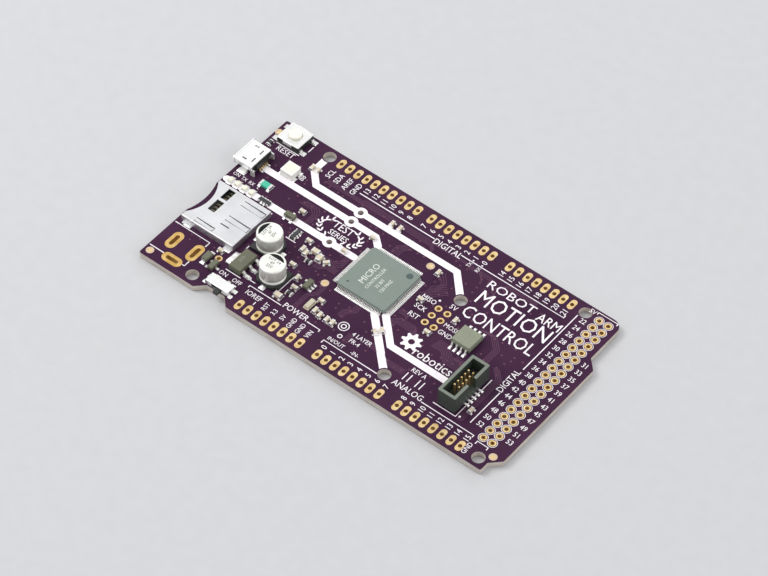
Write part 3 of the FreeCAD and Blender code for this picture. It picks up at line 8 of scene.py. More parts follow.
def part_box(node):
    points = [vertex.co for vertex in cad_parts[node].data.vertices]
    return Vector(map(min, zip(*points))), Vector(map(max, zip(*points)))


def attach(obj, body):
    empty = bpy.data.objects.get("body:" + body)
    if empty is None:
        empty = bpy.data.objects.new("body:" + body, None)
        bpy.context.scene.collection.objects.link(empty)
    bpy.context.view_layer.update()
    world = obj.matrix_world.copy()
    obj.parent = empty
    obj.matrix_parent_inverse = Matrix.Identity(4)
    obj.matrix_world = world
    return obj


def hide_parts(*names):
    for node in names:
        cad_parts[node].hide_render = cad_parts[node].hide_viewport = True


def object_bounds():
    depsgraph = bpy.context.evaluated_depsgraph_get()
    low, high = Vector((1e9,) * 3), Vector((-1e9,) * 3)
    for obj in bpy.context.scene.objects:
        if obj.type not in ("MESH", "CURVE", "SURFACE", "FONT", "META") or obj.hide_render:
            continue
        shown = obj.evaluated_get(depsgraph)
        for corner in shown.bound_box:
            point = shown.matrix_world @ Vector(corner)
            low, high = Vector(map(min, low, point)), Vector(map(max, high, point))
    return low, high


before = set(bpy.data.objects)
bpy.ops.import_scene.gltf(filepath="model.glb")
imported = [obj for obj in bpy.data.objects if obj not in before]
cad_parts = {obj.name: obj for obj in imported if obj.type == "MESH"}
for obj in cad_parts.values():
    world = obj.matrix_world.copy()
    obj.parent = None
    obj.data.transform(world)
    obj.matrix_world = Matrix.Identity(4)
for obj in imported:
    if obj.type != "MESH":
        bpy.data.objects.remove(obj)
CAD_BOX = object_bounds()


# ---------------------------------------------------------------- circuit board
# The board is pressed glass cloth and epoxy, routed and drilled, with a purple solder mask
# printed on both faces. Its routed edges and unplated holes are left as bare cream laminate.

MM = 0.001
BOARD_LOW, BOARD_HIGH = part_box("circuit_board")
BOARD_T = BOARD_HIGH.z - BOARD_LOW.z
MASK_SKIN = 0.012 * MM
MASK_PURPLE = (0.060, 0.019, 0.051, 1)
MASK_DEEP = (0.033, 0.0095, 0.032, 1)
LAMINATE_CREAM = (0.62, 0.57, 0.52, 1)
LAMINATE_BROWN = (0.36, 0.30, 0.25, 1)
CLOTH_PITCH = 0.42 * MM
WAVE_PERIOD = 0.314


class Signal:
    """A shader socket that ordinary arithmetic can be written on."""

    def __init__(self, tree, socket):
        self.tree = tree
        self.socket = socket

    def maths(self, operation, *values):
        node = self.tree.nodes.new("ShaderNodeMath")
        node.operation = operation
        for socket, value in zip(node.inputs, values):
            feed(socket, value)
        return Signal(self.tree, node.outputs[0])

    def __add__(self, other):
        return self.maths("ADD", self, other)

    def __sub__(self, other):
        return self.maths("SUBTRACT", self, other)

    def __rsub__(self, other):
        return self.maths("SUBTRACT", other, self)

    def __mul__(self, other):
        return self.maths("MULTIPLY", self, other)

    def __gt__(self, other):
        return self.maths("GREATER_THAN", self, other)

    def __abs__(self):
        return self.maths("ABSOLUTE", self)

    __radd__ = __add__


def feed(socket, value):
    """Links a signal into a node's socket, or sets the socket to a plain value."""
    if isinstance(value, Signal):
        value.tree.links.new(value.socket, socket)
    else:
        socket.default_value = value


class Finish:
    """A surface finish: one Principled shader and the nodes that feed it."""

    def __init__(self, name):
        self.material = bpy.data.materials.new(name)
        self.material.use_nodes = True
        self.tree = self.material.node_tree
        self.tree.nodes.clear()
        self.shader = self.tree.nodes.new("ShaderNodeBsdfPrincipled")
        output = self.tree.nodes.new("ShaderNodeOutputMaterial")
        self.tree.links.new(self.shader.outputs[0], output.inputs[0])
        self.place = self.node("ShaderNodeTexCoord", out="Object")

    def node(self, kind, settings=None, sockets=None, out=0):
        """Adds a node, sets it up, feeds its sockets and gives back one of its outputs."""
        node = self.tree.nodes.new(kind)
        for key, value in (settings or {}).items():
            setattr(node, key, value)
        for key, value in (sockets or {}).items():
            feed(node.inputs[key], value)
        return Signal(self.tree, node.outputs[out])

    def noise(self, scale, detail=2.0, stretch=(1, 1, 1)):
        """Soft noise from 0 to 1, with scale in waves a metre."""
        place = self.node("ShaderNodeMapping", None, {"Vector": self.place, "Scale": stretch})
        return self.node("ShaderNodeTexNoise", None, {"Vector": place, "Scale": scale, "Detail": detail})

    def mix(self, share, low, high):
        """A colour between low and high."""
        sockets = {0: share, 6: low, 7: high}
        return self.node("ShaderNodeMix", {"data_type": "RGBA"}, sockets, out=2)

    def spread(self, value, low, high):
        """A value taken from 0 to 1 as it goes from low to high."""
        sockets = {"Value": value, "From Min": low, "From Max": high}
        return self.node("ShaderNodeMapRange", None, sockets)

    def bump(self, height, depth, strength=1.0):
        """A surface normal for a height from 0 to 1 that stands depth metres deep."""
        sockets = {"Height": height, "Distance": depth, "Strength": strength}
        return self.node("ShaderNodeBump", None, sockets, out="Normal")

    def done(self, **sockets):
        """Sets the shader's own sockets and gives back the material."""
        for key, value in sockets.items():
            feed(self.shader.inputs[key.replace("_", " ")], value)
        return self.material


def masked_laminate():
    """Purple mask on the two faces, and bare glass cloth and resin on every cut wall."""
    finish = Finish("masked_laminate")
    z = finish.node("ShaderNodeSeparateXYZ", None, {"Vector": finish.place}, out="Z")
    masked = abs(z - (BOARD_LOW.z + BOARD_T / 2)) > BOARD_T / 2 - MASK_SKIN
    mottle = finish.noise(1100, 3.0)
    cloud = finish.spread(finish.noise(60, 3.0), 0.35, 0.65)
    mask = finish.mix(cloud * 0.6 + mottle * 0.4, MASK_DEEP, MASK_PURPLE)
    layers = finish.noise(900, 2.0, (0.25, 0.25, 9.0))
    bare = finish.mix(finish.spread(layers, 0.4, 0.75), LAMINATE_CREAM, LAMINATE_BROWN)
    waves = {"Vector": finish.place, "Scale": WAVE_PERIOD / CLOTH_PITCH, "Distortion": 0.8, "Detail": 1.0}
    warp = finish.node("ShaderNodeTexWave", {"bands_direction": "X"}, waves)
    weft = finish.node("ShaderNodeTexWave", {"bands_direction": "Y"}, waves)
    relief = (warp + weft) * 0.12 + mottle * 0.4 + layers * (1 - masked)
    return finish.done(
        Base_Color=finish.mix(masked, bare, mask),
        Roughness=0.85 - masked * 0.5 + cloud * 0.06,
        Normal=finish.bump(relief, 0.01 * MM, 0.5),
        Specular_IOR_Level=0.1,
    )


def clad(material, *nodes):
    """Gives CAD nodes a finish."""
    for node in nodes:
        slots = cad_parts[node].data.materials
        slots.clear()
        slots.append(material)


clad(masked_laminate(), "circuit_board")


# ---------------------------------------------------------------- copper under the mask
# Etched copper tracks lie under the mask, and show through it as slightly raised, paler purple
# lines in bundles.

TRACK_WIDTH = 0.19
TRACK_RISE = 0.01
TRACK_PALE = (0.125, 0.058, 0.105, 1)
TRACK_DEEP = (0.080, 0.032, 0.062, 1)
ROUND_END = (0.5, 0.8, 0.97)


def spot(x, y, z=0.0):
    """A place x and y millimetres from the board's socket end and near edge, z above its top."""
    return Vector((BOARD_LOW.x + x * MM, BOARD_LOW.y + y * MM, BOARD_HIGH.z + z * MM))


def under_mask(name, deep, pale):
    """Mask over copper: paler and warmer than it is over bare laminate."""
    finish = Finish(name)
    mottle = finish.noise(1400)
    cloud = finish.noise(90)
    return finish.done(
        Base_Color=finish.mix(mottle * 0.5 + cloud * 0.5, deep, pale),
        Roughness=0.34 + mottle * 0.1,
        Normal=finish.bump(mottle, 0.003 * MM),
        Specular_IOR_Level=0.1,
    )


def fit_piece(name, shape, material, body="board"):
    """Makes a bmesh a named piece of the object, with a finish, riding on a body."""
    mesh = bpy.data.meshes.new(name)
    shape.to_mesh(mesh)
    shape.free()
    mesh.materials.append(material)
    piece = bpy.data.objects.new(name, mesh)
    bpy.context.scene.collection.objects.link(piece)
    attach(piece, body)
    return piece


def shade(shape, sharp_angle=40.0):
    """Smooths a bmesh's faces, and keeps its edges sharp where they turn more than the angle."""
    for face in shape.faces:
        face.smooth = True
    for edge in shape.edges:
        if len(edge.link_faces) == 2:
            edge.smooth = edge.calc_face_angle(0) < math.radians(sharp_angle)


def ribbon(shape, points, width, rise):
    """Adds a round-ended strip through the points, a low dome in section."""
    places = [spot(x, y) for x, y in points]
    half = width * MM / 2
    first = (places[0] - places[1]).normalized() * half
    last = (places[-1] - places[-2]).normalized() * half
    taper = [(share, math.sqrt(1 - share * share)) for share in ROUND_END]
    knots = [(places[0] + first * share, radius) for share, radius in reversed(taper)]
    knots += [(place, 1.0) for place in places]
    knots += [(places[-1] + last * share, radius) for share, radius in taper]
    curve = bpy.data.curves.new("strip", "CURVE")
    curve.dimensions = "3D"
    curve.twist_mode = "Z_UP"
    curve.bevel_depth = half
    curve.bevel_resolution = 1
    curve.use_fill_caps = True
    spline = curve.splines.new("POLY")
    spline.points.add(len(knots) - 1)
    for point, (place, radius) in zip(spline.points, knots):
        point.co = (*place, 1)
        point.radius = radius
    holder = bpy.data.objects.new("strip", curve)
    mesh = bpy.data.meshes.new_from_object(holder)
    lift = Matrix.Translation((0, 0, BOARD_HIGH.z))
    squash = Matrix.Diagonal((1, 1, rise * MM / half, 1))
    mesh.transform(lift @ squash @ lift.inverted())
    shape.from_mesh(mesh)
    bpy.data.meshes.remove(mesh)
    bpy.data.objects.remove(holder)
    bpy.data.curves.remove(curve)


def bundle(shape, points, count, step):
    """Adds tracks side by side, each one a step from the last."""
    for i in range(count):
        route = [(x + step[0] * i, y + step[1] * i) for x, y in points]
        ribbon(shape, route, TRACK_WIDTH, TRACK_RISE)


# Each bundle: its first track's points, how many tracks, and the step from one to the next.
BUNDLES = (
    ([(57.3, 31.4), (58.3, 32.4), (58.3, 34.6), (60.8, 37.1)], 6, (0.42, -0.42)),
    ([(56.6, 20.6), (58.9, 22.9), (63.0, 22.9), (64.0, 21.9)], 5, (0.1, -0.45)),
    ([(69.0, 20.9), (71.8, 20.9), (74.0, 18.7), (78.9, 18.7)], 7, (0.1, 0.42)),
    ([(57.6, 12.9), (61.6, 12.9), (63.4, 11.5), (69.2, 11.5)], 4, (-0.1, -0.42)),
    ([(86.2, 7.9), (86.2, 22.4), (83.8, 24.8)], 4, (0.42, 0.1)),
    ([(38.4, 10.1), (38.4, 14.6), (40.0, 16.2), (40.0, 19.0)], 3, (-0.42, 0.1)),
    ([(19.6, 44.1), (50.4, 44.1), (51.9, 42.9)], 3, (0, 0.42)),
    ([(38.9, 23.4), (36.2, 23.4), (35.0, 22.2), (33.4, 22.2)], 4, (0, 0.42)),
    ([(61.2, 45.4), (67.4, 45.4), (68.0, 44.8), (68.0, 42.4)], 3, (0, -0.45)),
    ([(20.0, 36.6), (23.6, 36.6), (24.8, 35.4), (24.8, 31.9)], 4, (-0.42, -0.42)),
    ([(44.6, 37.0), (44.6, 39.2), (46.2, 40.6)], 5, (0.5, -0.05)),
    ([(50.0, 19.4), (50.0, 17.6), (48.4, 16.0), (48.4, 14.2)], 4, (-0.45, 0.1)),
    ([(57.2, 25.2), (59.2, 25.2), (59.9, 24.5)], 4, (0, -0.42)),
    ([(74.8, 31.6), (77.8, 31.6), (80.6, 28.8), (80.6, 23.0)], 4, (0.42, 0.2)),
    ([(58.4, 39.6), (60.4, 37.6), (60.4, 34.2)], 3, (-0.42, -0.42)),
    ([(75.4, 21.9), (79.2, 21.9)], 3, (0, -0.42)),
    ([(37.6, 30.9), (37.6, 27.2), (36.6, 26.2), (33.6, 26.2)], 4, (0.42, -0.42)),
    ([(52.6, 12.0), (52.6, 9.2)], 4, (0.42, 0)),
    ([(30.4, 45.0), (64.2, 45.0), (66.2, 43.0)], 2, (0, 0.42)),
    ([(80.2, 46.0), (72.0, 46.0), (70.6, 44.6), (70.6, 39.4)], 3, (0.1, -0.42)),
)
tracks = bmesh.new()
for points, count, step in BUNDLES:
    bundle(tracks, points, count, step)
shade(tracks)
fit_piece("masked_tracks", tracks, under_mask("masked_track", TRACK_DEEP, TRACK_PALE))


# ---------------------------------------------------------------- legend
# The legend is white ink, screened on the mask a few hundredths of a millimetre thick: wide
# route lines from hole to hole, thin brackets, pin numbers, names and a title.

INK_RISE = 0.025
INK_WHITE = (0.90, 0.86, 0.87, 1)
INK_THIN = (0.78, 0.71, 0.77, 1)
WIDE_LINE = 1.85
THIN_LINE = 0.26
WIDE_RISE = 0.045
RIM_GAP = 0.3
MOUNT_HOLE_R = 1.6
MOUNT_HOLES = (
    (13.97, 2.54),
    (96.52, 2.54),
    (15.24, 50.8),
    (90.17, 50.8),
    (66.04, 7.62),
    (66.04, 35.56),
)
STATION_X = 31.85
STATIONS = [(STATION_X, y) for y in (41.75, 38.25, 30.15)]
STATION_R = 1.65
STATION_HOLE_R = 0.7
STATION_LAP = 0.2
ROUTES = (
    [(15.05, 50.8), (15.05, 45.2), (18.4, 41.8), (60.1, 41.8), (66.04, 35.56)],
    [(5.9, 38.25), (39.1, 38.25), (41.3, 36.3)],
    [(0.9, 30.15), (39.2, 30.15)],
    [(55.7, 21.2), (62.0, 14.95), (79.2, 14.95)],
    [(53.4, 19.9), (66.04, 7.62)],
)


def white_ink():
    """Matt white ink, a little thin and grainy where it was pulled through the screen."""
    finish = Finish("white_ink")
    grain = finish.noise(5200)
    thin = finish.spread(finish.noise(700), 0.45, 0.8)
    return finish.done(
        Base_Color=finish.mix(thin, INK_WHITE, INK_THIN),
        Roughness=0.6 + grain * 0.15,
        Normal=finish.bump(grain, 0.006 * MM),
    )


def join(shape, part, place):
    """Adds a finished part to a bigger bmesh, moved to its place."""
    bmesh.ops.transform(part, matrix=place, verts=part.verts)
    mesh = bpy.data.meshes.new("part")
    part.to_mesh(mesh)
    part.free()
    shape.from_mesh(mesh)
    bpy.data.meshes.remove(mesh)


def punched(shape, holes):
    """Cuts round holes, each (x, y, radius), out of a printed bmesh."""
    punches = bmesh.new()
    for x, y, radius in holes:
        punch = bmesh.new()
        bmesh.ops.create_cone(
            punch, cap_ends=True, segments=40, radius1=radius * MM, radius2=radius * MM, depth=4 * MM
        )
        join(punches, punch, Matrix.Translation(spot(x, y)))
    tools = []
    for name, part in (("print", shape), ("punches", punches)):
        mesh = bpy.data.meshes.new(name)
        part.to_mesh(mesh)
        part.free()
        tools.append(bpy.data.objects.new(name, mesh))
        bpy.context.scene.collection.objects.link(tools[-1])
    cut = tools[0].modifiers.new("cut", "BOOLEAN")
    cut.object = tools[1]
    cut.solver = "EXACT"
    bpy.context.view_layer.update()
    whole = tools[0].evaluated_get(bpy.context.evaluated_depsgraph_get())
    result = bmesh.new()
    result.from_mesh(whole.data)
    for tool in tools:
        mesh = tool.data
        bpy.data.objects.remove(tool)
        bpy.data.meshes.remove(mesh)
    return result


INK = white_ink()
wide = bmesh.new()
for route in ROUTES:
    ribbon(wide, route, WIDE_LINE, WIDE_RISE)
rims = [(x, y, MOUNT_HOLE_R + RIM_GAP) for x, y in MOUNT_HOLES]
wide = punched(wide, rims + [(x, y, STATION_R - STATION_LAP) for x, y in STATIONS])
shade(wide)
fit_piece("legend_routes", wide, INK)


def dot(shape, x, y, radius, rise, segments=20):
    """Adds a low round disc with a bevelled rim."""
    disc = bmesh.new()
    bmesh.ops.create_cone(
        disc,
        cap_ends=True,
        segments=segments,
        radius1=radius * MM,
        radius2=(radius - rise) * MM,
        depth=rise * MM,
    )
    join(shape, disc, Matrix.Translation(spot(x, y, rise / 2)))


def ring(shape, x, y, outer, inner, rise=INK_RISE, segments=32):
    """Adds a flat printed ring with bevelled rims."""
    part = bmesh.new()
    slope = min(0.03, (outer - inner) / 4)
    profile = [(inner, 0), (inner + slope, rise), (outer - slope, rise), (outer, 0)]
    verts = [part.verts.new((radius * MM, 0, z * MM)) for radius, z in profile]
    edges = [part.edges.new(pair) for pair in zip(verts, verts[1:] + verts[:1])]
    bmesh.ops.spin(
        part,
        geom=verts + edges,
        axis=(0, 0, 1),
        cent=(0, 0, 0),
        angle=math.tau,
        steps=segments,
        use_merge=True,
    )
    bmesh.ops.recalc_face_normals(part, faces=part.faces)
    join(shape, part, Matrix.Translation(spot(x, y)))


PITCH = 2.54
FIRST_PAIR = (93.98, 7.62)
PAIR_ROWS = 18
PAD_RING_R = 1.22
PAD_RING_LINE = 0.15
rings = bmesh.new()
for x, y in STATIONS:
    ring(rings, x, y, STATION_R, STATION_HOLE_R, WIDE_RISE)
for row in range(PAIR_ROWS):
    for column in range(2):
        x = FIRST_PAIR[0] + column * PITCH
        y = FIRST_PAIR[1] + row * PITCH
        ring(rings, x, y, PAD_RING_R, PAD_RING_R - PAD_RING_LINE, INK_RISE, 20)
shade(rings)
fit_piece("legend_rings", rings, INK)

BRACKETS = (
    [(27.9, 46.4), (50.0, 46.4)],
    [(57.9, 46.4), (87.2, 46.4), (87.2, 47.1)],
    [(26.2, 7.9), (26.2, 8.45), (35.3, 8.45)],
    [(43.1, 8.45), (46.8, 8.45), (46.8, 7.9)],
    [(49.3, 5.9), (49.3, 6.75), (64.5, 6.75)],
    [(77.3, 6.75), (92.0, 6.75), (92.0, 6.2)],
    [(89.2, 49.0), (89.2, 28.6)],
    [(89.2, 19.8), (89.2, 9.2)],
    [(30.4, 5.4), (30.4, 4.6)],
    [(0.5, 12.4), (10.8, 12.4), (10.8, 10.9)],
    [(10.8, 5.0), (10.8, 3.4), (10.3, 3.4)],
    [(0.5, 3.4), (4.5, 3.4)],
    [(79.4, 8.35), (85.6, 8.35), (85.6, 21.6)],
    [(2.6, 46.45), (9.3, 46.45)],
    [(2.6, 46.9), (8.2, 46.9)],
    [(10.35, 48.8), (10.35, 50.7)],
    [(18.8, 8.75), (23.0, 8.75)],
    [(25.1, 10.2), (25.1, 9.7), (26.6, 9.7)],
    [(32.3, 9.9), (32.3, 16.6)],
    [(18.4, 16.5), (18.4, 17.4)],
    [(23.2, 25.0), (25.9, 25.0)],
    [(10.6, 28.6), (14.4, 28.6)],
    [(92.5, 52.2), (92.5, 52.75), (97.9, 52.75), (97.9, 52.2)],
    [(93.6, 5.2), (93.6, 6.0), (96.6, 6.0), (96.6, 5.3)],
    [(69.9, 9.2), (69.9, 11.4)],
    [(71.1, 9.2), (71.1, 11.4)],
    [(73.4, 9.2), (73.4, 11.4)],
    [(74.6, 9.2), (74.6, 11.4)],
)
LEAF_COUNT = 7
LEAF_LENGTH = 1.25
LEAF_SHARE = 0.36
LEAF_RIM = 0.85
LEAF_SPLAY = 0.6
LEAF_PUSH = 0.38
FIRST_LEAF = -62
LEAF_STEP = 19
LEAF_TWIST = 8
BADGE = (31.9, 34.0)
BADGE_REACH = (5.7, 3.0)


def leaf(shape, x, y, turn):
    """Adds a printed leaf, an oval with a bevelled rim, centred on x and y."""
    blade = bmesh.new()
    bmesh.ops.create_cone(
        blade,
        cap_ends=True,
        segments=14,
        radius1=LEAF_LENGTH / 2 * MM,
        radius2=LEAF_LENGTH / 2 * MM * LEAF_RIM,
        depth=INK_RISE * MM,
    )
    spin = Matrix.Rotation(turn, 4, "Z") @ Matrix.Diagonal((1, LEAF_SHARE, 1, 1))
    join(shape, blade, Matrix.Translation(spot(x, y, INK_RISE / 2)) @ spin)


thin = bmesh.new()
for route in BRACKETS:
    ribbon(thin, route, THIN_LINE, INK_RISE)
for side in (-1, 1):
    for i in range(LEAF_COUNT):
        lean = math.radians(FIRST_LEAF + LEAF_STEP * i)
        x = BADGE[0] + side * BADGE_REACH[0] * math.cos(lean)
        y = BADGE[1] + BADGE_REACH[1] * math.sin(lean)
        along = math.pi / 2 + side * (lean - math.radians(LEAF_TWIST))
        for hand in (-1, 1):
            push = LEAF_PUSH * hand
            turn = along + LEAF_SPLAY * hand
            leaf(thin, x - push * math.sin(along), y + push * math.cos(along), turn)
shade(thin)
fit_piece("legend_brackets", thin, INK)

LETTER_RISE = 0.022
CAP_SHARE = 0.7
NARROW = 0.86


def letter(shape, text, x, y, cap, turn=0.0, narrow=NARROW, z=0.0):
    """Adds text centred on x and y, with capitals cap millimetres tall, turned by an angle."""
    curve = bpy.data.curves.new("text", "FONT")
    curve.body = text
    curve.size = cap / CAP_SHARE * MM
    curve.align_x = "CENTER"
    curve.align_y = "CENTER"
    curve.resolution_u = 2
    curve.extrude = LETTER_RISE * MM
    holder = bpy.data.objects.new("text", curve)
    mesh = bpy.data.meshes.new_from_object(holder)
    spin = Matrix.Rotation(math.radians(turn), 4, "Z")
    mesh.transform(Matrix.Translation(spot(x, y, z)) @ spin @ Matrix.Diagonal((narrow, 1, 1, 1)))
    shape.from_mesh(mesh)
    bpy.data.meshes.remove(mesh)
    bpy.data.objects.remove(holder)
    bpy.data.curves.remove(curve)


def column(shape, texts, first_x, y, cap):
    """Adds labels turned to read up the board, one beside each pad."""
    for i, text in enumerate(texts):
        letter(shape, str(text), first_x + i * PITCH, y, cap, 90)


PIN_CAP = 1.5
NAME_CAP = 1.4
POWER_CAP = 1.2
PIN_COLUMNS = (
    (("SCL", "SDA", "AREF", "GND"), 18.8, 46.75, NAME_CAP),
    (range(13, 7, -1), 28.96, 47.85, PIN_CAP),
    (range(7, -1, -1), 45.72, 47.95, PIN_CAP),
    (range(14, 22), 68.58, 47.85, PIN_CAP),
    (("RST", "3.3", "5V", "GND", "GND", "VIN"), 33.02, 5.9, POWER_CAP),
    (range(8), 50.8, 5.15, PIN_CAP),
    (range(8, 16), 73.66, 5.15, PIN_CAP),
)
PAIR_LABELS = (
    (range(52, 20, -2), 91.2),
    (range(53, 29, -2), 99.35),
)
FIRST_PAIR_LABEL_Y = 10.16
pins = bmesh.new()
for labels, x, y, cap in PIN_COLUMNS:
    column(pins, labels, x, y, cap)
for labels, x in PAIR_LABELS:
    for i, label in enumerate(labels):
        letter(pins, str(label), x, FIRST_PAIR_LABEL_Y + i * PITCH, NAME_CAP)
shade(pins, 30)
fit_piece("legend_pin_labels", pins, INK)

NAMES = (
    ("IOREF", 28.85, 6.6, 1.4, 0),
    ("POWER", 39.25, 9.0, 1.65, 0),
    ("ANALOG", 72.9, 7.35, 1.65, 0),
    ("DIGITAL", 54.15, 45.95, 1.75, 0),
    ("DIGITAL", 88.75, 23.8, 1.65, 90),
    ("RESET", 6.2, 45.25, 1.6, 0),
    ("TX", 61.0, 45.3, 0.95, 90),
    ("RX", 63.5, 45.3, 0.95, 90),
    ("88", 14.5, 41.5, 1.4, 90),
    ("ON", 19.2, 7.3, 1.2, 0),
    ("OFF", 23.2, 7.3, 1.2, 0),
    ("ON", 1.9, 32.6, 1.0, 0),
    ("TX", 4.2, 32.6, 1.0, 0),
    ("RX", 6.4, 32.6, 1.0, 0),
    ("L", 8.5, 32.6, 1.0, 0),
    ("MISO", 60.3, 31.2, 1.4, 0),
    ("SCK", 60.2, 28.1, 1.4, 0),
    ("RST", 60.4, 25.3, 1.4, 0),
    ("5V", 66.1, 32.8, 1.4, 0),
    ("MOSI", 69.3, 27.6, 1.3, 0),
    ("GND", 69.4, 25.3, 1.35, 0),
    ("IN/OUT", 51.9, 7.85, 1.1, 0),
    ("-IN-", 57.3, 7.85, 1.1, 0),
    ("5V", 91.3, 52.1, 1.25, 0),
    ("GND", 93.0, 3.0, 1.25, 90),
    ("TEST", 31.9, 35.3, 2.1, 0),
    ("SERIES", 32.3, 32.8, 1.6, 0),
    ("4 LAYER", 55.9, 12.3, 1.2, 0),
    ("FR-4", 55.2, 10.4, 1.2, 0),
    ("REV A", 71.9, 12.75, 1.25, 0),
)
TITLE = (
    ("ROBOT", 74.4, 43.6, 2.4, 1.15),
    ("ARM", 85.6, 43.0, 2.6, 0.85),
    ("MOTION", 78.3, 39.2, 4.3, 0.82),
    ("CONTROL", 78.0, 33.9, 3.6, 0.8),
    ("robotics", 72.2, 17.3, 2.5, 0.9),
)
names = bmesh.new()
for text, x, y, cap, turn in NAMES:
    letter(names, text, x, y, cap, turn)
for text, x, y, cap, narrow in TITLE:
    letter(names, text, x, y, cap, 0, narrow)
shade(names, 30)
fit_piece("legend_names", names, INK)

GEAR_SPOT = (64.9, 18.9)
GEAR_ROOT_R = 1.85
GEAR_TIP_R = 2.6
GEAR_BORE_R = 0.8
GEAR_TEETH = 8
CIRCLES = ((50.3, 12.7, 1.35, 1.12), (50.3, 12.7, 0.7, 0.45), (51.4, 9.9, 0.62, 0.4))
DOTS = ((62.4, 32.5, 0.3), (61.0, 46.9, 0.22), (63.5, 46.9, 0.22), (86.4, 8.9, 0.3))


def gear_sign():
    """A plain toothed wheel printed as a sign."""
    part = bmesh.new()
    teeth = bmesh.ops.create_circle(part, segments=4 * GEAR_TEETH, radius=GEAR_ROOT_R * MM)["verts"]
    tips = [vert for i, vert in enumerate(teeth) if i % 4 < 2]
    bmesh.ops.scale(part, vec=Vector((1, 1, 1)) * GEAR_TIP_R / GEAR_ROOT_R, verts=tips)
    bmesh.ops.create_circle(part, segments=24, radius=GEAR_BORE_R * MM)
    faces = bmesh.ops.bridge_loops(part, edges=part.edges[:])["faces"]
    raised = bmesh.ops.extrude_face_region(part, geom=faces)["geom"]
    lifted = [item for item in raised if isinstance(item, bmesh.types.BMVert)]
    bmesh.ops.translate(part, vec=(0, 0, INK_RISE * MM), verts=lifted)
    bmesh.ops.recalc_face_normals(part, faces=part.faces)
    return part


signs = bmesh.new()
join(signs, gear_sign(), Matrix.Translation(spot(*GEAR_SPOT)))
for x, y, outer, inner in CIRCLES:
    ring(signs, x, y, outer, inner)
for x, y, radius in DOTS:
    dot(signs, x, y, radius, INK_RISE)
shade(signs)
fit_piece("legend_signs", signs, INK)


# ---------------------------------------------------------------- plugged vias
# Small plated holes join the copper layers. They are plugged and masked over, and show as low
# pinkish dots.

VIA_R = 0.27
VIA_RISE = 0.014
VIA_COUNT = 190
VIA_SPACING = 1.1
VIA_FIELD = ((3, 88), (9.5, 44.5))
PART_GAP = 0.7
PAD_GAP = 0.5
VIA_PINK = (0.155, 0.062, 0.092, 1)
VIA_SHADE = (0.085, 0.034, 0.060, 1)
PARTS_ON_BOARD = [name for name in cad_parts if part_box(name)[1].z > BOARD_HIGH.z + 0.2 * MM]
PAD_ROWS = ("digital_header_pads", "analog_header_pads", "power_header_pads", "double_row_pads")
PAD_ROWS += ("programming_pads", "barrel_jack_pads")


def solids(node):
    """The separate solids of a CAD node, each as a list of its corner points."""
    shape = bmesh.new()
    shape.from_mesh(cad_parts[node].data)
    bmesh.ops.remove_doubles(shape, verts=shape.verts, dist=0.001 * MM)
    found = []
    seen = set()
    for start in shape.verts:
        if start in seen:
            continue
        seen.add(start)
        reached = [start]
        for vert in reached:
            near = [edge.other_vert(vert) for edge in vert.link_edges]
            fresh = [other for other in near if other not in seen]
            seen.update(fresh)
            reached += fresh
        found.append([vert.co.copy() for vert in reached])
    shape.free()
    return found


def outlines(nodes, gap):
    """The boxes in x and y round every solid of the nodes, grown by a gap."""
    boxes = []
    for node in nodes:
        for corners in solids(node):
            xs = [corner.x for corner in corners]
            ys = [corner.y for corner in corners]
            boxes.append((min(xs) - gap, max(xs) + gap, min(ys) - gap, max(ys) + gap))
    return boxes


taken = outlines(PARTS_ON_BOARD, PART_GAP * MM)
taken += outlines(PAD_ROWS, PAD_GAP * MM)
ROUTE_ROOM = (WIDE_LINE / 2 + VIA_R) * MM
lines = [(spot(*a), spot(*b)) for route in ROUTES for a, b in zip(route, route[1:])]


def off_route(place):
    """Whether a place is clear of every wide white line."""
    for start, end in lines:
        share = max(0.0, min(1.0, geometry.intersect_point_line(place, start, end)[1]))
        if (place - start.lerp(end, share)).length < ROUTE_ROOM:
            return False
    return True


draw = random.Random(7)
vias = bmesh.new()
places = []
while len(places) < VIA_COUNT:
    x, y = (draw.uniform(*span) for span in VIA_FIELD)
    place = spot(x, y)
    clear = all(not (x0 < place.x < x1 and y0 < place.y < y1) for x0, x1, y0, y1 in taken)
    if clear and off_route(place) and all(math.dist((x, y), other) > VIA_SPACING for other in places):
        places.append((x, y))
for x, y in places:
    dot(vias, x, y, VIA_R, VIA_RISE, 10)
shade(vias, 20)
fit_piece("plugged_vias", vias, under_mask("plugged_via", VIA_SHADE, VIA_PINK))


# ---------------------------------------------------------------- plated pads
# The header rows and the jack's slots are drilled through, plated with copper and finished in
# immersion gold. Nothing is soldered into them, so every land and barrel shows.

OPENING_R = 1.0
OPENING_RISE = 0.012
TARGET_R = 0.5


def immersion_gold(name, deep, pale):
    """Thin gold over nickel: warm, softly uneven and not quite polished."""
    finish = Finish(name)
    grain = finish.noise(3500, 3.0)
    cloud = finish.spread(finish.noise(650), 0.3, 0.7)
    return finish.done(
        Base_Color=finish.mix(cloud, deep, pale),
        Roughness=0.3 + grain * 0.18,
        Normal=finish.bump(grain, 0.004 * MM),
        Metallic=0.85,
    )


GOLD = immersion_gold("immersion_gold", (0.72, 0.49, 0.20, 1), (0.90, 0.70, 0.38, 1))
WORN_GOLD = immersion_gold("worn_gold", (0.60, 0.36, 0.09, 1), (0.80, 0.55, 0.22, 1))
clad(GOLD, *PAD_ROWS, "fiducial_targets")
clad(WORN_GOLD, "barrel_jack_pads")


def bare_resin():
    """Bare laminate seen through a round opening in the mask."""
    finish = Finish("bare_resin")
    grain = finish.noise(2600)
    return finish.done(
        Base_Color=finish.mix(grain, (0.50, 0.36, 0.24, 1), (0.66, 0.52, 0.38, 1)),
        Roughness=0.6 + grain * 0.1,
        Normal=finish.bump(grain, 0.005 * MM),
    )


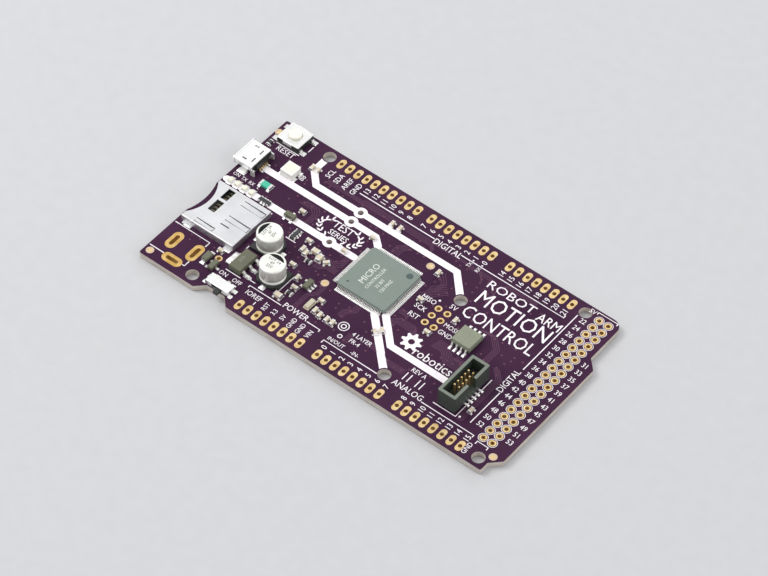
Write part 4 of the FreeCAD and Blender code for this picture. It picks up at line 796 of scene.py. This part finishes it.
openings = bmesh.new()
for corners in solids("fiducial_targets"):
    x = sum(corner.x for corner in corners) / len(corners)
    y = sum(corner.y for corner in corners) / len(corners)
    ring(openings, (x - BOARD_LOW.x) / MM, (y - BOARD_LOW.y) / MM, OPENING_R, TARGET_R, OPENING_RISE)
shade(openings)
fit_piece("fiducial_openings", openings, bare_resin())


# ---------------------------------------------------------------- solder
# Every surface-mounted foot sits on a tinned land a little bigger than itself, with a fillet of
# bright reflowed solder drawn up round it.

SOLDER_PALE = (0.98, 0.97, 0.94, 1)
SOLDER_GREY = (0.84, 0.83, 0.81, 1)
LAND_RISE = 0.03
FOOT_SKIN = 0.04 * MM
LONG_FOOT = 2.5
LAND_CROWN = 0.97
FILLET_FOOT = 0.85
FOLDED_REACH = 0.22
FOLDED_CLIMB = 0.18


def reflowed_solder():
    """Bright solder with faint frosty grains and flow lines."""
    finish = Finish("reflowed_solder")
    frost = finish.noise(3800, 3.0)
    flow = finish.noise(900)
    return finish.done(
        Base_Color=finish.mix(flow, SOLDER_GREY, SOLDER_PALE),
        Roughness=0.2 + frost * 0.22,
        Normal=finish.bump(frost * 0.4 + flow * 0.6, 0.02 * MM),
        Metallic=0.8,
    )


def footprint(corners):
    """The rectangle under a foot: its middle, its two half sizes and its angle."""
    low = min(corner.z for corner in corners)
    soles = [corner.xy for corner in corners if corner.z < low + FOOT_SKIN]
    angle = geometry.box_fit_2d(soles)
    squared = [Matrix.Rotation(angle, 2) @ sole for sole in soles]
    xs = [point.x for point in squared]
    ys = [point.y for point in squared]
    middle = Vector(((min(xs) + max(xs)) / 2, (min(ys) + max(ys)) / 2))
    half = Vector(((max(xs) - min(xs)) / 2, (max(ys) - min(ys)) / 2))
    return Matrix.Rotation(-angle, 2) @ middle, half, -angle


def tapered_block(foot, crown, height):
    """A block with a rectangular foot and a smaller crown, both given as half sizes."""
    part = bmesh.new()
    verts = bmesh.ops.create_cube(part, size=2.0)["verts"]
    upper = [vert for vert in verts if vert.co.z > 0]
    bmesh.ops.translate(part, vec=(0, 0, 1), verts=verts)
    bmesh.ops.scale(part, vec=(foot.x, foot.y, height / 2), verts=verts)
    bmesh.ops.scale(part, vec=(crown.x / foot.x, crown.y / foot.y, 1), verts=upper)
    return part


def solder_joint(shape, foot, home, outward, sideways, climb):
    """Adds a land and its fillet round one foot, longer along the foot or away from the part."""
    middle, half, angle = footprint(foot)
    away = Matrix.Rotation(-angle, 2) @ (middle - home)
    long_foot = max(half) > LONG_FOOT * min(half)
    along_x = half.x > half.y if long_foot else abs(away.x) > abs(away.y)
    reach = Vector((outward, sideways) if along_x else (sideways, outward)) * MM
    place = Matrix.Translation((middle.x, middle.y, BOARD_HIGH.z)) @ Matrix.Rotation(angle, 4, "Z")
    join(shape, tapered_block(half + reach, half + reach * LAND_CROWN, LAND_RISE * MM), place)
    join(shape, tapered_block(half + reach * FILLET_FOOT, half, climb * MM), place)


def centre(corners):
    """The middle of a solid's box in x and y."""
    xs = [corner.x for corner in corners]
    ys = [corner.y for corner in corners]
    return Vector(((min(xs) + max(xs)) / 2, (min(ys) + max(ys)) / 2))


# The feet, the bodies they belong to, and how far solder reaches outward, sideways and up.
FEET = (
    ("chip_terminals", ("ceramic_capacitor_bodies", "resistor_bodies"), 0.32, 0.1, 0.42),
    ("fuse_terminals", ("fuse_body",), 0.45, 0.1, 0.4),
    ("resistor_array_terminals", ("resistor_array_bodies",), 0.25, 0.02, 0.25),
    ("microcontroller_leads", ("microcontroller_body",), 0.22, 0.06, 0.16),
    ("flash_memory_leads", ("flash_memory_body",), 0.35, 0.14, 0.24),
    ("voltage_regulator_leads", ("voltage_regulator_body",), 0.4, 0.15, 0.34),
    ("transistor_leads", ("transistor_bodies",), 0.25, 0.12, 0.16),
    ("diode_leads", ("diode_body",), 0.3, 0.12, 0.2),
    ("capacitor_leads", ("capacitor_bases",), 0.45, 0.35, 0.22),
    ("reset_button_terminals", ("reset_button_base",), 0.4, 0.25, 0.26),
    ("power_switch_terminals", ("power_switch_base",), 0.4, 0.15, 0.2),
    ("usb_socket_contacts", ("usb_socket_insulator",), 0.3, 0.06, 0.16),
    ("indicator_lamp_terminals", ("indicator_lamp_bases",), 0.3, 0.06, 0.25),
    ("colour_lamp_leads", ("colour_lamp_case",), 0.4, 0.15, 0.2),
    ("debug_header_pins", ("debug_header_box",), 0.3, 0.12, 0.22),
)
solder = bmesh.new()
for terminals, bodies, outward, sideways, climb in FEET:
    homes = [centre(corners) for body in bodies for corners in solids(body)]
    for foot in solids(terminals):
        if min(corner.z for corner in foot) < BOARD_HIGH.z + FOOT_SKIN:
            middle = centre(foot)
            home = min(homes, key=lambda place: (place - middle).length)
            solder_joint(solder, foot, home, outward, sideways, climb)
# The folded steel parts, the axis between their feet, the steps along the other axis, and a
# foot's half sizes.
FOLDED_FEET = (
    ("usb_socket_shell", "y", (3.0,), (1.0, 0.5)),
    ("card_socket_shell", "y", (2.2, 14.0), (0.8, 0.4)),
    ("power_switch_cover", "x", (0.45, 2.25), (0.25, 0.3)),
)
for node, across, steps, half in FOLDED_FEET:
    low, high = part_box(node)
    for step in steps:
        for end, inward in ((low, 1), (high, -1)):
            if across == "y":
                middle = Vector((low.x + step * MM, end.y + inward * half[1] * MM))
            else:
                middle = Vector((end.x + inward * half[0] * MM, low.y + step * MM))
            corners = [
                Vector((middle.x + i * half[0] * MM, middle.y + j * half[1] * MM, BOARD_HIGH.z))
                for i in (-1, 1)
                for j in (-1, 1)
            ]
            home = middle + Vector((MM, 0))
            solder_joint(solder, corners, home, FOLDED_REACH, FOLDED_REACH, FOLDED_CLIMB)
shade(solder, 50)
SOLDER = reflowed_solder()
fit_piece("solder_joints", solder, SOLDER)


# ---------------------------------------------------------------- leads and terminals
# Component feet are copper alloy or steel, formed in a die and plated with bright tin. They
# stand on the board's lands and are held by the solder.

TIN_PALE = (0.97, 0.96, 0.93, 1)
TIN_GREY = (0.84, 0.83, 0.81, 1)


def rolled_metal(name, dark, pale, rough, stretch, depth=0.003, metallic=1.0):
    """Rolled and plated metal, with grain drawn out along one axis and small marks."""
    finish = Finish(name)
    grain = finish.noise(800, 4.0, stretch)
    marks = finish.noise(2600)
    smear = finish.spread(finish.noise(180), 0.3, 0.75)
    return finish.done(
        Base_Color=finish.mix(grain * 0.6 + smear * 0.4, dark, pale),
        Roughness=rough + grain * 0.14 + smear * 0.06,
        Normal=finish.bump(grain * 0.6 + marks * 0.4, depth * MM),
        Metallic=metallic,
    )


TIN = rolled_metal("tin_plate", TIN_GREY, TIN_PALE, 0.22, (1, 1, 1))
clad(
    TIN,
    "microcontroller_leads",
    "flash_memory_leads",
    "voltage_regulator_leads",
    "transistor_leads",
    "diode_leads",
    "capacitor_leads",
    "chip_terminals",
    "fuse_terminals",
    "resistor_array_terminals",
    "reset_button_terminals",
    "power_switch_terminals",
    "colour_lamp_leads",
    "indicator_lamp_terminals",
)


# ---------------------------------------------------------------- micro-USB socket
# A folded shell of bright nickel-plated steel over a black moulding, with five gold contacts.
# Its legs are soldered to the board, and its mouth stands out past the board's end.

STEEL_DARK = (0.88, 0.88, 0.87, 1)
STEEL_PALE = (0.97, 0.97, 0.95, 1)
BRIGHT_STEEL = rolled_metal("bright_steel", STEEL_DARK, STEEL_PALE, 0.3, (1, 10, 1), metallic=0.7)


def moulding(name, dark, pale, rough, depth=0.006, grain_scale=3000, gloss=0.5):
    """A moulded surface with a fine spark texture, a faint cloud and a little dust."""
    finish = Finish(name)
    grain = finish.noise(grain_scale, 3.0)
    cloud = finish.noise(260)
    return finish.done(
        Base_Color=finish.mix(grain * 0.5 + cloud * 0.5, dark, pale),
        Roughness=rough + grain * 0.16,
        Normal=finish.bump(grain, depth * MM),
        Specular_IOR_Level=gloss,
    )


BLACK = moulding("black_moulding", (0.008, 0.009, 0.009, 1), (0.030, 0.032, 0.030, 1), 0.42)
clad(BRIGHT_STEEL, "usb_socket_shell")
clad(BLACK, "usb_socket_insulator")
clad(GOLD, "usb_socket_contacts")


# ---------------------------------------------------------------- memory-card socket
# A satin steel lid with lanced springs over a black moulding. Inside are gold-plated contacts,
# coloured dull and dark as painted shade, the sliding ejector with its spring, and the wire that latches
# it.

SATIN_STEEL = rolled_metal("satin_steel", (0.62, 0.62, 0.63, 1), (0.78, 0.78, 0.79, 1), 0.38, (1, 14, 1))
SPRING_STEEL = rolled_metal("spring_steel", (0.45, 0.44, 0.42, 1), (0.62, 0.61, 0.58, 1), 0.3, (1, 1, 1))
clad(SATIN_STEEL, "card_socket_shell")
clad(BLACK, "card_socket_base", "card_eject_slider")
# Painted shade: the gold-plated contacts and detect leaf sit in shadow under the lid's windows, so they are
# given a dull dark bronze colour.
SHADED_CONTACT_BRONZE = rolled_metal("spring_bronze_painted_shade", (0.10, 0.085, 0.06, 1), (0.22, 0.19, 0.14, 1), 0.35, (1, 1, 1))
clad(SHADED_CONTACT_BRONZE, "card_socket_contacts", "card_detect_leaf")
clad(SPRING_STEEL, "card_eject_spring", "card_latch_rod")


# ---------------------------------------------------------------- reset button
# A black moulded tray under a bright steel cover. The plunger is cream nylon with a rounded
# rim, and presses a snap dome of spring steel.

PLUNGER_RIM = 0.22
FLANGE_REACH = 0.45
FLANGE_T = 0.35
DISH_R = 0.5
DISH_SLOPE = 0.08
DISH_DEPTH = 0.04
COVER_STEEL = rolled_metal("cover_steel", (0.84, 0.84, 0.82, 1), (0.95, 0.95, 0.93, 1), 0.32, (8, 1, 1))
CREAM = moulding("cream_nylon", (0.80, 0.77, 0.66, 1), (0.88, 0.86, 0.77, 1), 0.35, 0.004)
clad(COVER_STEEL, "reset_button_cover")
clad(BLACK, "reset_button_base")
clad(SPRING_STEEL, "reset_button_dome")


def turned(profile, steps):
    """A closed round solid spun from a profile of radius and height, in millimetres."""
    part = bmesh.new()
    verts = [part.verts.new((radius * MM, 0, z * MM)) for radius, z in profile]
    edges = [part.edges.new(pair) for pair in zip(verts, verts[1:])]
    bmesh.ops.spin(
        part,
        geom=verts + edges,
        axis=(0, 0, 1),
        cent=(0, 0, 0),
        angle=math.tau,
        steps=steps,
        use_merge=True,
    )
    bmesh.ops.remove_doubles(part, verts=part.verts, dist=0.002 * MM)
    bmesh.ops.recalc_face_normals(part, faces=part.faces)
    return part


def arc(middle_r, middle_z, radius, start, end, steps=6):
    """Points of a profile round a bend, between two angles in degrees."""
    turns = [math.radians(start + (end - start) * i / steps) for i in range(steps + 1)]
    return [(middle_r + radius * math.cos(turn), middle_z + radius * math.sin(turn)) for turn in turns]


def middle_of(node):
    """The middle of a node's box in x and y, and its lowest z."""
    low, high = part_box(node)
    return Vector(((low.x + high.x) / 2, (low.y + high.y) / 2, low.z))


plunger_low, plunger_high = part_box("reset_button_plunger")
flange_r = (plunger_high.x - plunger_low.x) / 2 / MM
plunger_r = flange_r - FLANGE_REACH
plunger_h = (plunger_high.z - plunger_low.z) / MM
dish_z = plunger_h - DISH_DEPTH
profile = [(0, 0), (flange_r, 0), (flange_r, FLANGE_T), (plunger_r, FLANGE_T)]
profile += arc(plunger_r - PLUNGER_RIM, plunger_h - PLUNGER_RIM, PLUNGER_RIM, 0, 90)
profile += [(DISH_R, plunger_h), (DISH_R - DISH_SLOPE, dish_z), (0, dish_z)]
plunger = turned(profile, 48)
bmesh.ops.translate(plunger, vec=middle_of("reset_button_plunger"), verts=plunger.verts)
shade(plunger)
piece = fit_piece("reset_plunger_cap", plunger, CREAM, "reset_plunger")
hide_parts("reset_button_plunger")


# ---------------------------------------------------------------- slide power switch
# A bright folded steel cover over a black moulded base, soldered at the board's near edge. A
# black knob slides along its front and carries a gold-plated wiper.

clad(COVER_STEEL, "power_switch_cover")
clad(BLACK, "power_switch_base", "power_switch_knob")
clad(GOLD, "power_switch_wiper")


# ---------------------------------------------------------------- chips
# Moulded epoxy packages with matt, finely pitted faces. The large square one is the
# microcontroller, and its top is marked in pale laser print.

# The microcontroller's grey-green is paler than its dark epoxy: sheen from the soft boxes is painted into
# this colour.
EPOXY_WITH_SHEEN = moulding("grey_epoxy_painted_sheen", (0.165, 0.205, 0.178, 1), (0.225, 0.268, 0.238, 1), 0.55, 0.01, 2400, 0.3)
FLASH_EPOXY = moulding("olive_epoxy", (0.20, 0.22, 0.155, 1), (0.29, 0.31, 0.23, 1), 0.55, 0.01, 2400, 0.3)
DARK_EPOXY = moulding("dark_epoxy", (0.10, 0.102, 0.066, 1), (0.16, 0.162, 0.115, 1), 0.5, 0.01, 2400, 0.3)
PRINT_PALE = moulding("laser_print", (0.60, 0.63, 0.58, 1), (0.72, 0.75, 0.70, 1), 0.6, 0.004)
PRINT_DIM = moulding("dim_print", (0.22, 0.23, 0.18, 1), (0.30, 0.31, 0.25, 1), 0.6, 0.004)
clad(EPOXY_WITH_SHEEN, "microcontroller_body")
clad(FLASH_EPOXY, "flash_memory_body")
clad(DARK_EPOXY, "voltage_regulator_body", "transistor_bodies", "diode_body")


def top_of(node):
    """How far a node's top stands above the board, in millimetres."""
    return (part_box(node)[1].z - BOARD_HIGH.z) / MM


DIMPLES = ((5.05, 0.82), (-5.05, 0.28))
DIMPLE_DROP = 0.058
DIMPLE_SKIN = 0.01
chip_low, chip_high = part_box("microcontroller_body")
chip_middle = (chip_low + chip_high) / 2
dimples = bmesh.new()
for reach, radius in DIMPLES:
    disc = bmesh.new()
    bmesh.ops.create_cone(
        disc,
        cap_ends=True,
        segments=32,
        radius1=radius * MM,
        radius2=(radius - DIMPLE_SKIN) * MM,
        depth=DIMPLE_SKIN * MM,
    )
    place = Vector((chip_middle.x + reach * MM, chip_middle.y + reach * MM, chip_high.z - DIMPLE_DROP * MM))
    join(dimples, disc, Matrix.Translation(place))
shade(dimples, 30)
DIMPLE = moulding("polished_dimple", (0.045, 0.075, 0.072, 1), (0.075, 0.11, 0.105, 1), 0.3, 0.003, 2400)
fit_piece("microcontroller_dimple_floors", dimples, DIMPLE)

CHIP_PRINT = (
    ("MICRO", 45.6, 27.9, 1.6),
    ("CONTROLLER", 47.6, 27.6, 0.85),
    ("32 BIT", 49.3, 27.0, 0.85),
    ("120 MHZ", 50.9, 27.2, 0.85),
)
marks = bmesh.new()
for text, x, y, cap in CHIP_PRINT:
    letter(marks, text, x, y, cap, 90, 0.95, top_of("microcontroller_body"))
shade(marks, 30)
fit_piece("microcontroller_print", marks, PRINT_PALE)

SMALL_PRINT = (
    ("FLASH", 73.3, 26.9, 0.85, "flash_memory_body"),
    ("MEMORY", 74.6, 26.9, 0.85, "flash_memory_body"),
    ("8 PINS", 75.9, 26.9, 0.75, "flash_memory_body"),
    ("3V3", 20.6, 12.3, 0.9, "voltage_regulator_body"),
)
faint = bmesh.new()
for text, x, y, cap, node in SMALL_PRINT:
    letter(faint, text, x, y, cap, 90, 0.9, top_of(node))
shade(faint, 30)
fit_piece("small_chip_print", faint, PRINT_DIM)


# ---------------------------------------------------------------- electrolytic capacitors
# Drawn aluminium cans crimped round a rubber seal, on square black bases. A black segment on
# the top marks the negative side, beside the rating.

CAN_DULL = (0.74, 0.75, 0.69, 1)
CAN_BRIGHT = (0.88, 0.88, 0.83, 1)
CAN_ALUMINIUM = rolled_metal("can_aluminium", CAN_DULL, CAN_BRIGHT, 0.45, (1, 1, 16), metallic=0.7)
CAN_INK = moulding("can_ink", (0.008, 0.008, 0.009, 1), (0.02, 0.02, 0.02, 1), 0.6, 0.003, 3000, 0.1)
CAN_PRINT = moulding("can_print", (0.10, 0.10, 0.10, 1), (0.18, 0.18, 0.18, 1), 0.6, 0.003, 3000, 0.1)
CAN_FOOT_R = 0.12
CAN_TOP_R = 0.42
CAN_CRIMP_R = 0.26
CAN_CRIMP_Z = 0.78
CAN_CRIMP_HALF = 0.36
CAN_CRIMP_LIP = 0.08
CAN_CRIMP_STEP = 0.06
CAN_CRIMP_OUT = 0.02
CAN_DISH_RIM = 0.5
CAN_DISH_DEPTH = 0.03
CAN_SIDES = (180, 90)
RATING_ROWS = (("LOT 24", 0.85), ("47", -0.2), ("25V", -1.25))
RATING_CAP = 0.8
MARK_CHORD = 1.5
MARK_RIM = 0.52
MARK_SLOPE = 0.01
MARK_T = 0.03
CAN_PRINT_DROP = 0.025
clad(BLACK, "capacitor_bases")

can_low, can_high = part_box("capacitor_cans")
can_h = (can_high.z - can_low.z) / MM
can_spots = [centre(corners) for corners in solids("capacitor_cans")]
can_r = max((corner.xy - can_spots[0]).length for corner in solids("capacitor_cans")[0]) / MM
step_r = can_r - CAN_CRIMP_STEP
step_half = CAN_CRIMP_HALF - CAN_CRIMP_LIP
can_dish = can_h - CAN_DISH_DEPTH
profile = [(0, 0), (can_r - CAN_FOOT_R, 0)]
profile += arc(can_r - CAN_FOOT_R, CAN_FOOT_R, CAN_FOOT_R, -90, 0)
profile += [(can_r, CAN_CRIMP_Z - CAN_CRIMP_HALF), (step_r, CAN_CRIMP_Z - step_half)]
profile += arc(can_r + CAN_CRIMP_OUT, CAN_CRIMP_Z, CAN_CRIMP_R, 225, 135, 8)
profile += [(step_r, CAN_CRIMP_Z + step_half), (can_r, CAN_CRIMP_Z + CAN_CRIMP_HALF)]
profile += arc(can_r - CAN_TOP_R, can_h - CAN_TOP_R, CAN_TOP_R, 0, 90, 8)
profile += [(can_r - CAN_DISH_RIM, can_dish), (0, can_dish)]
print_z = top_of("capacitor_cans") - CAN_PRINT_DROP
cans = bmesh.new()
wedges = bmesh.new()
ratings = bmesh.new()
for place, side in zip(can_spots, CAN_SIDES):
    join(cans, turned(profile, 72), Matrix.Translation((place.x, place.y, can_low.z)))
    wedge = bmesh.new()
    bmesh.ops.create_cone(
        wedge,
        cap_ends=True,
        segments=64,
        radius1=(can_r - MARK_RIM) * MM,
        radius2=(can_r - MARK_RIM - MARK_SLOPE) * MM,
        depth=MARK_T * MM,
    )
    bmesh.ops.bisect_plane(
        wedge,
        geom=wedge.verts[:] + wedge.edges[:] + wedge.faces[:],
        plane_co=(MARK_CHORD * MM, 0, 0),
        plane_no=(1, 0, 0),
        clear_inner=True,
    )
    bmesh.ops.holes_fill(wedge, edges=[edge for edge in wedge.edges if edge.is_boundary])
    spin = Matrix.Rotation(math.radians(side), 4, "Z")
    join(wedges, wedge, Matrix.Translation((place.x, place.y, can_high.z - CAN_PRINT_DROP * MM)) @ spin)
    x = (place.x - BOARD_LOW.x) / MM
    y = (place.y - BOARD_LOW.y) / MM
    across = Vector((math.cos(math.radians(side)), math.sin(math.radians(side))))
    for text, shift in RATING_ROWS:
        row_x = x + across.x * shift
        row_y = y + across.y * shift
        letter(ratings, text, row_x, row_y, RATING_CAP, side - 90, 0.9, print_z)
shade(cans, 50)
shade(wedges, 30)
shade(ratings, 30)
piece = fit_piece("capacitor_can_shells", cans, CAN_ALUMINIUM)
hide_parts("capacitor_cans")
fit_piece("capacitor_polarity_marks", wedges, CAN_INK)
fit_piece("capacitor_ratings", ratings, CAN_PRINT)


# ---------------------------------------------------------------- chip parts
# Ceramic capacitors are cream blocks, resistors are dark glazed blocks, and the fuse is a green
# polymer strip. All have a tinned cap on each end. The crystal has a gold-plated steel lid.

CERAMIC = moulding("cream_ceramic", (0.52, 0.44, 0.31, 1), (0.72, 0.65, 0.52, 1), 0.45, 0.008)
GLAZE = moulding("dark_glaze", (0.018, 0.018, 0.022, 1), (0.05, 0.05, 0.055, 1), 0.3, 0.004)
GREEN = moulding("green_polymer", (0.02, 0.36, 0.22, 1), (0.09, 0.56, 0.38, 1), 0.3, 0.006)
clad(CERAMIC, "ceramic_capacitor_bodies", "crystal_base")
clad(GLAZE, "resistor_bodies", "resistor_array_bodies")
clad(GREEN, "fuse_body")
LID_GOLD = rolled_metal("lid_gold", (0.62, 0.57, 0.44, 1), (0.78, 0.73, 0.60, 1), 0.3, (1, 6, 1))
clad(LID_GOLD, "crystal_lid")


# ---------------------------------------------------------------- lamps
# Four small lamps with pale resin lenses, and one colour lamp in a white case with a round
# well of clear resin.

WHITE = moulding("white_moulding", (0.78, 0.77, 0.72, 1), (0.87, 0.86, 0.82, 1), 0.45, 0.005)
RESIN = moulding("lamp_resin", (0.74, 0.72, 0.58, 1), (0.87, 0.85, 0.73, 1), 0.16, 0.002)
clad(WHITE, "colour_lamp_case", "indicator_lamp_bases")
clad(RESIN, "indicator_lamp_lenses", "colour_lamp_lens")


# ---------------------------------------------------------------- boxed debug header
# A dark glass-filled moulded box, keyed by a slot in one wall, round ten square gold-plated
# pins. Their feet are soldered to the face of the board.

header_low, header_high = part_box("debug_header_box")


def glass_filled():
    """Dark glass-filled moulding, with a painted highlight in a pale band along the top rim, flecked by the
    fibre noise.
    """
    finish = Finish("glass_filled_moulding")
    z = finish.node("ShaderNodeSeparateXYZ", None, {"Vector": finish.place}, out="Z")
    grain = finish.noise(2400, 3.0)
    fibres = finish.noise(1500, 2.0, (1, 5, 1))
    # Painted highlight: the top quarter millimetre of the walls is mixed towards pale grey-green, as where
    # the rim catches the light.
    rim_highlight = finish.spread(z, header_high.z - 0.25 * MM, header_high.z)
    dark = finish.mix(grain, (0.022, 0.030, 0.024, 1), (0.060, 0.075, 0.060, 1))
    return finish.done(
        Base_Color=finish.mix(rim_highlight * (0.35 + fibres * 0.5), dark, (0.25, 0.28, 0.23, 1)),
        Roughness=0.42 + grain * 0.16,
        Normal=finish.bump(grain * 0.6 + fibres * 0.4, 0.01 * MM),
        Specular_IOR_Level=0.4,
    )


clad(glass_filled(), "debug_header_box")
clad(GOLD, "debug_header_pins")


# ---------------------------------------------------------------- floor, lights and camera
# A plain pale floor under three square soft boxes: the key over the socket end, a weaker fill
# over the other end, and one beyond the far edge.

FLOOR_SIZE = 2.4
FLOOR_GAP = 0.1
AIM = spot(50.24, 27.35)
DISTANCE = 0.7911
AZIMUTH = 37.15
ELEVATION = 49.87
ROLL = 1.85
LENS = 162.45
SENSOR = 36


def plain_paper():
    """Smooth pale paper with a barely visible tooth."""
    finish = Finish("plain_paper")
    grain = finish.noise(300)
    return finish.done(
        Base_Color=finish.mix(grain, (0.52, 0.52, 0.53, 1), (0.56, 0.56, 0.57, 1)),
        Roughness=0.85 + grain * 0.05,
        Specular_IOR_Level=0.2,
    )


floor_shape = bmesh.new()
bmesh.ops.create_grid(floor_shape, x_segments=1, y_segments=1, size=FLOOR_SIZE / 2)
floor_mesh = bpy.data.meshes.new("floor")
floor_shape.to_mesh(floor_mesh)
floor_shape.free()
floor_mesh.materials.append(plain_paper())
floor = bpy.data.objects.new("floor", floor_mesh)
floor.location = (0, 0, CAD_BOX[0].z - FLOOR_GAP * MM)
bpy.context.scene.collection.objects.link(floor)


def soft_box(name, place, size, watts):
    """A square soft light that faces the middle of the board."""
    lamp = bpy.data.lights.new(name, "AREA")
    lamp.shape = "SQUARE"
    lamp.size = size
    lamp.energy = watts
    light = bpy.data.objects.new(name, lamp)
    light.location = AIM + Vector(place)
    light.rotation_mode = "QUATERNION"
    light.rotation_quaternion = (-Vector(place)).to_track_quat("-Z", "Y")
    bpy.context.scene.collection.objects.link(light)


soft_box("key", (-0.60, -0.15, 0.75), 0.45, 4.5)
soft_box("fill", (0.75, 0.25, 0.55), 0.5, 1.8)
soft_box("back", (-0.30, 0.95, 0.45), 0.5, 2.0)
world = bpy.data.worlds.new("studio")
world.use_nodes = True
background = world.node_tree.nodes["Background"]
background.inputs["Color"].default_value = (0.97, 0.98, 1.0, 1)
background.inputs["Strength"].default_value = 0.8
bpy.context.scene.world = world
bpy.context.scene.view_settings.view_transform = "Standard"

azimuth = math.radians(AZIMUTH)
elevation = math.radians(ELEVATION)
flat = Vector((math.sin(azimuth), -math.cos(azimuth), 0)) * math.cos(elevation)
back = flat + Vector((0, 0, math.sin(elevation)))
camera_data = bpy.data.cameras.new("camera")
camera_data.lens = LENS
camera_data.sensor_width = SENSOR
camera_data.clip_start = 0.01
camera = bpy.data.objects.new("camera", camera_data)
camera.location = AIM + back * DISTANCE
camera.rotation_mode = "QUATERNION"
roll = Matrix.Rotation(math.radians(ROLL), 4, back).to_quaternion()
camera.rotation_quaternion = roll @ (-back).to_track_quat("-Z", "Y")
bpy.context.scene.collection.objects.link(camera)
bpy.context.scene.camera = camera
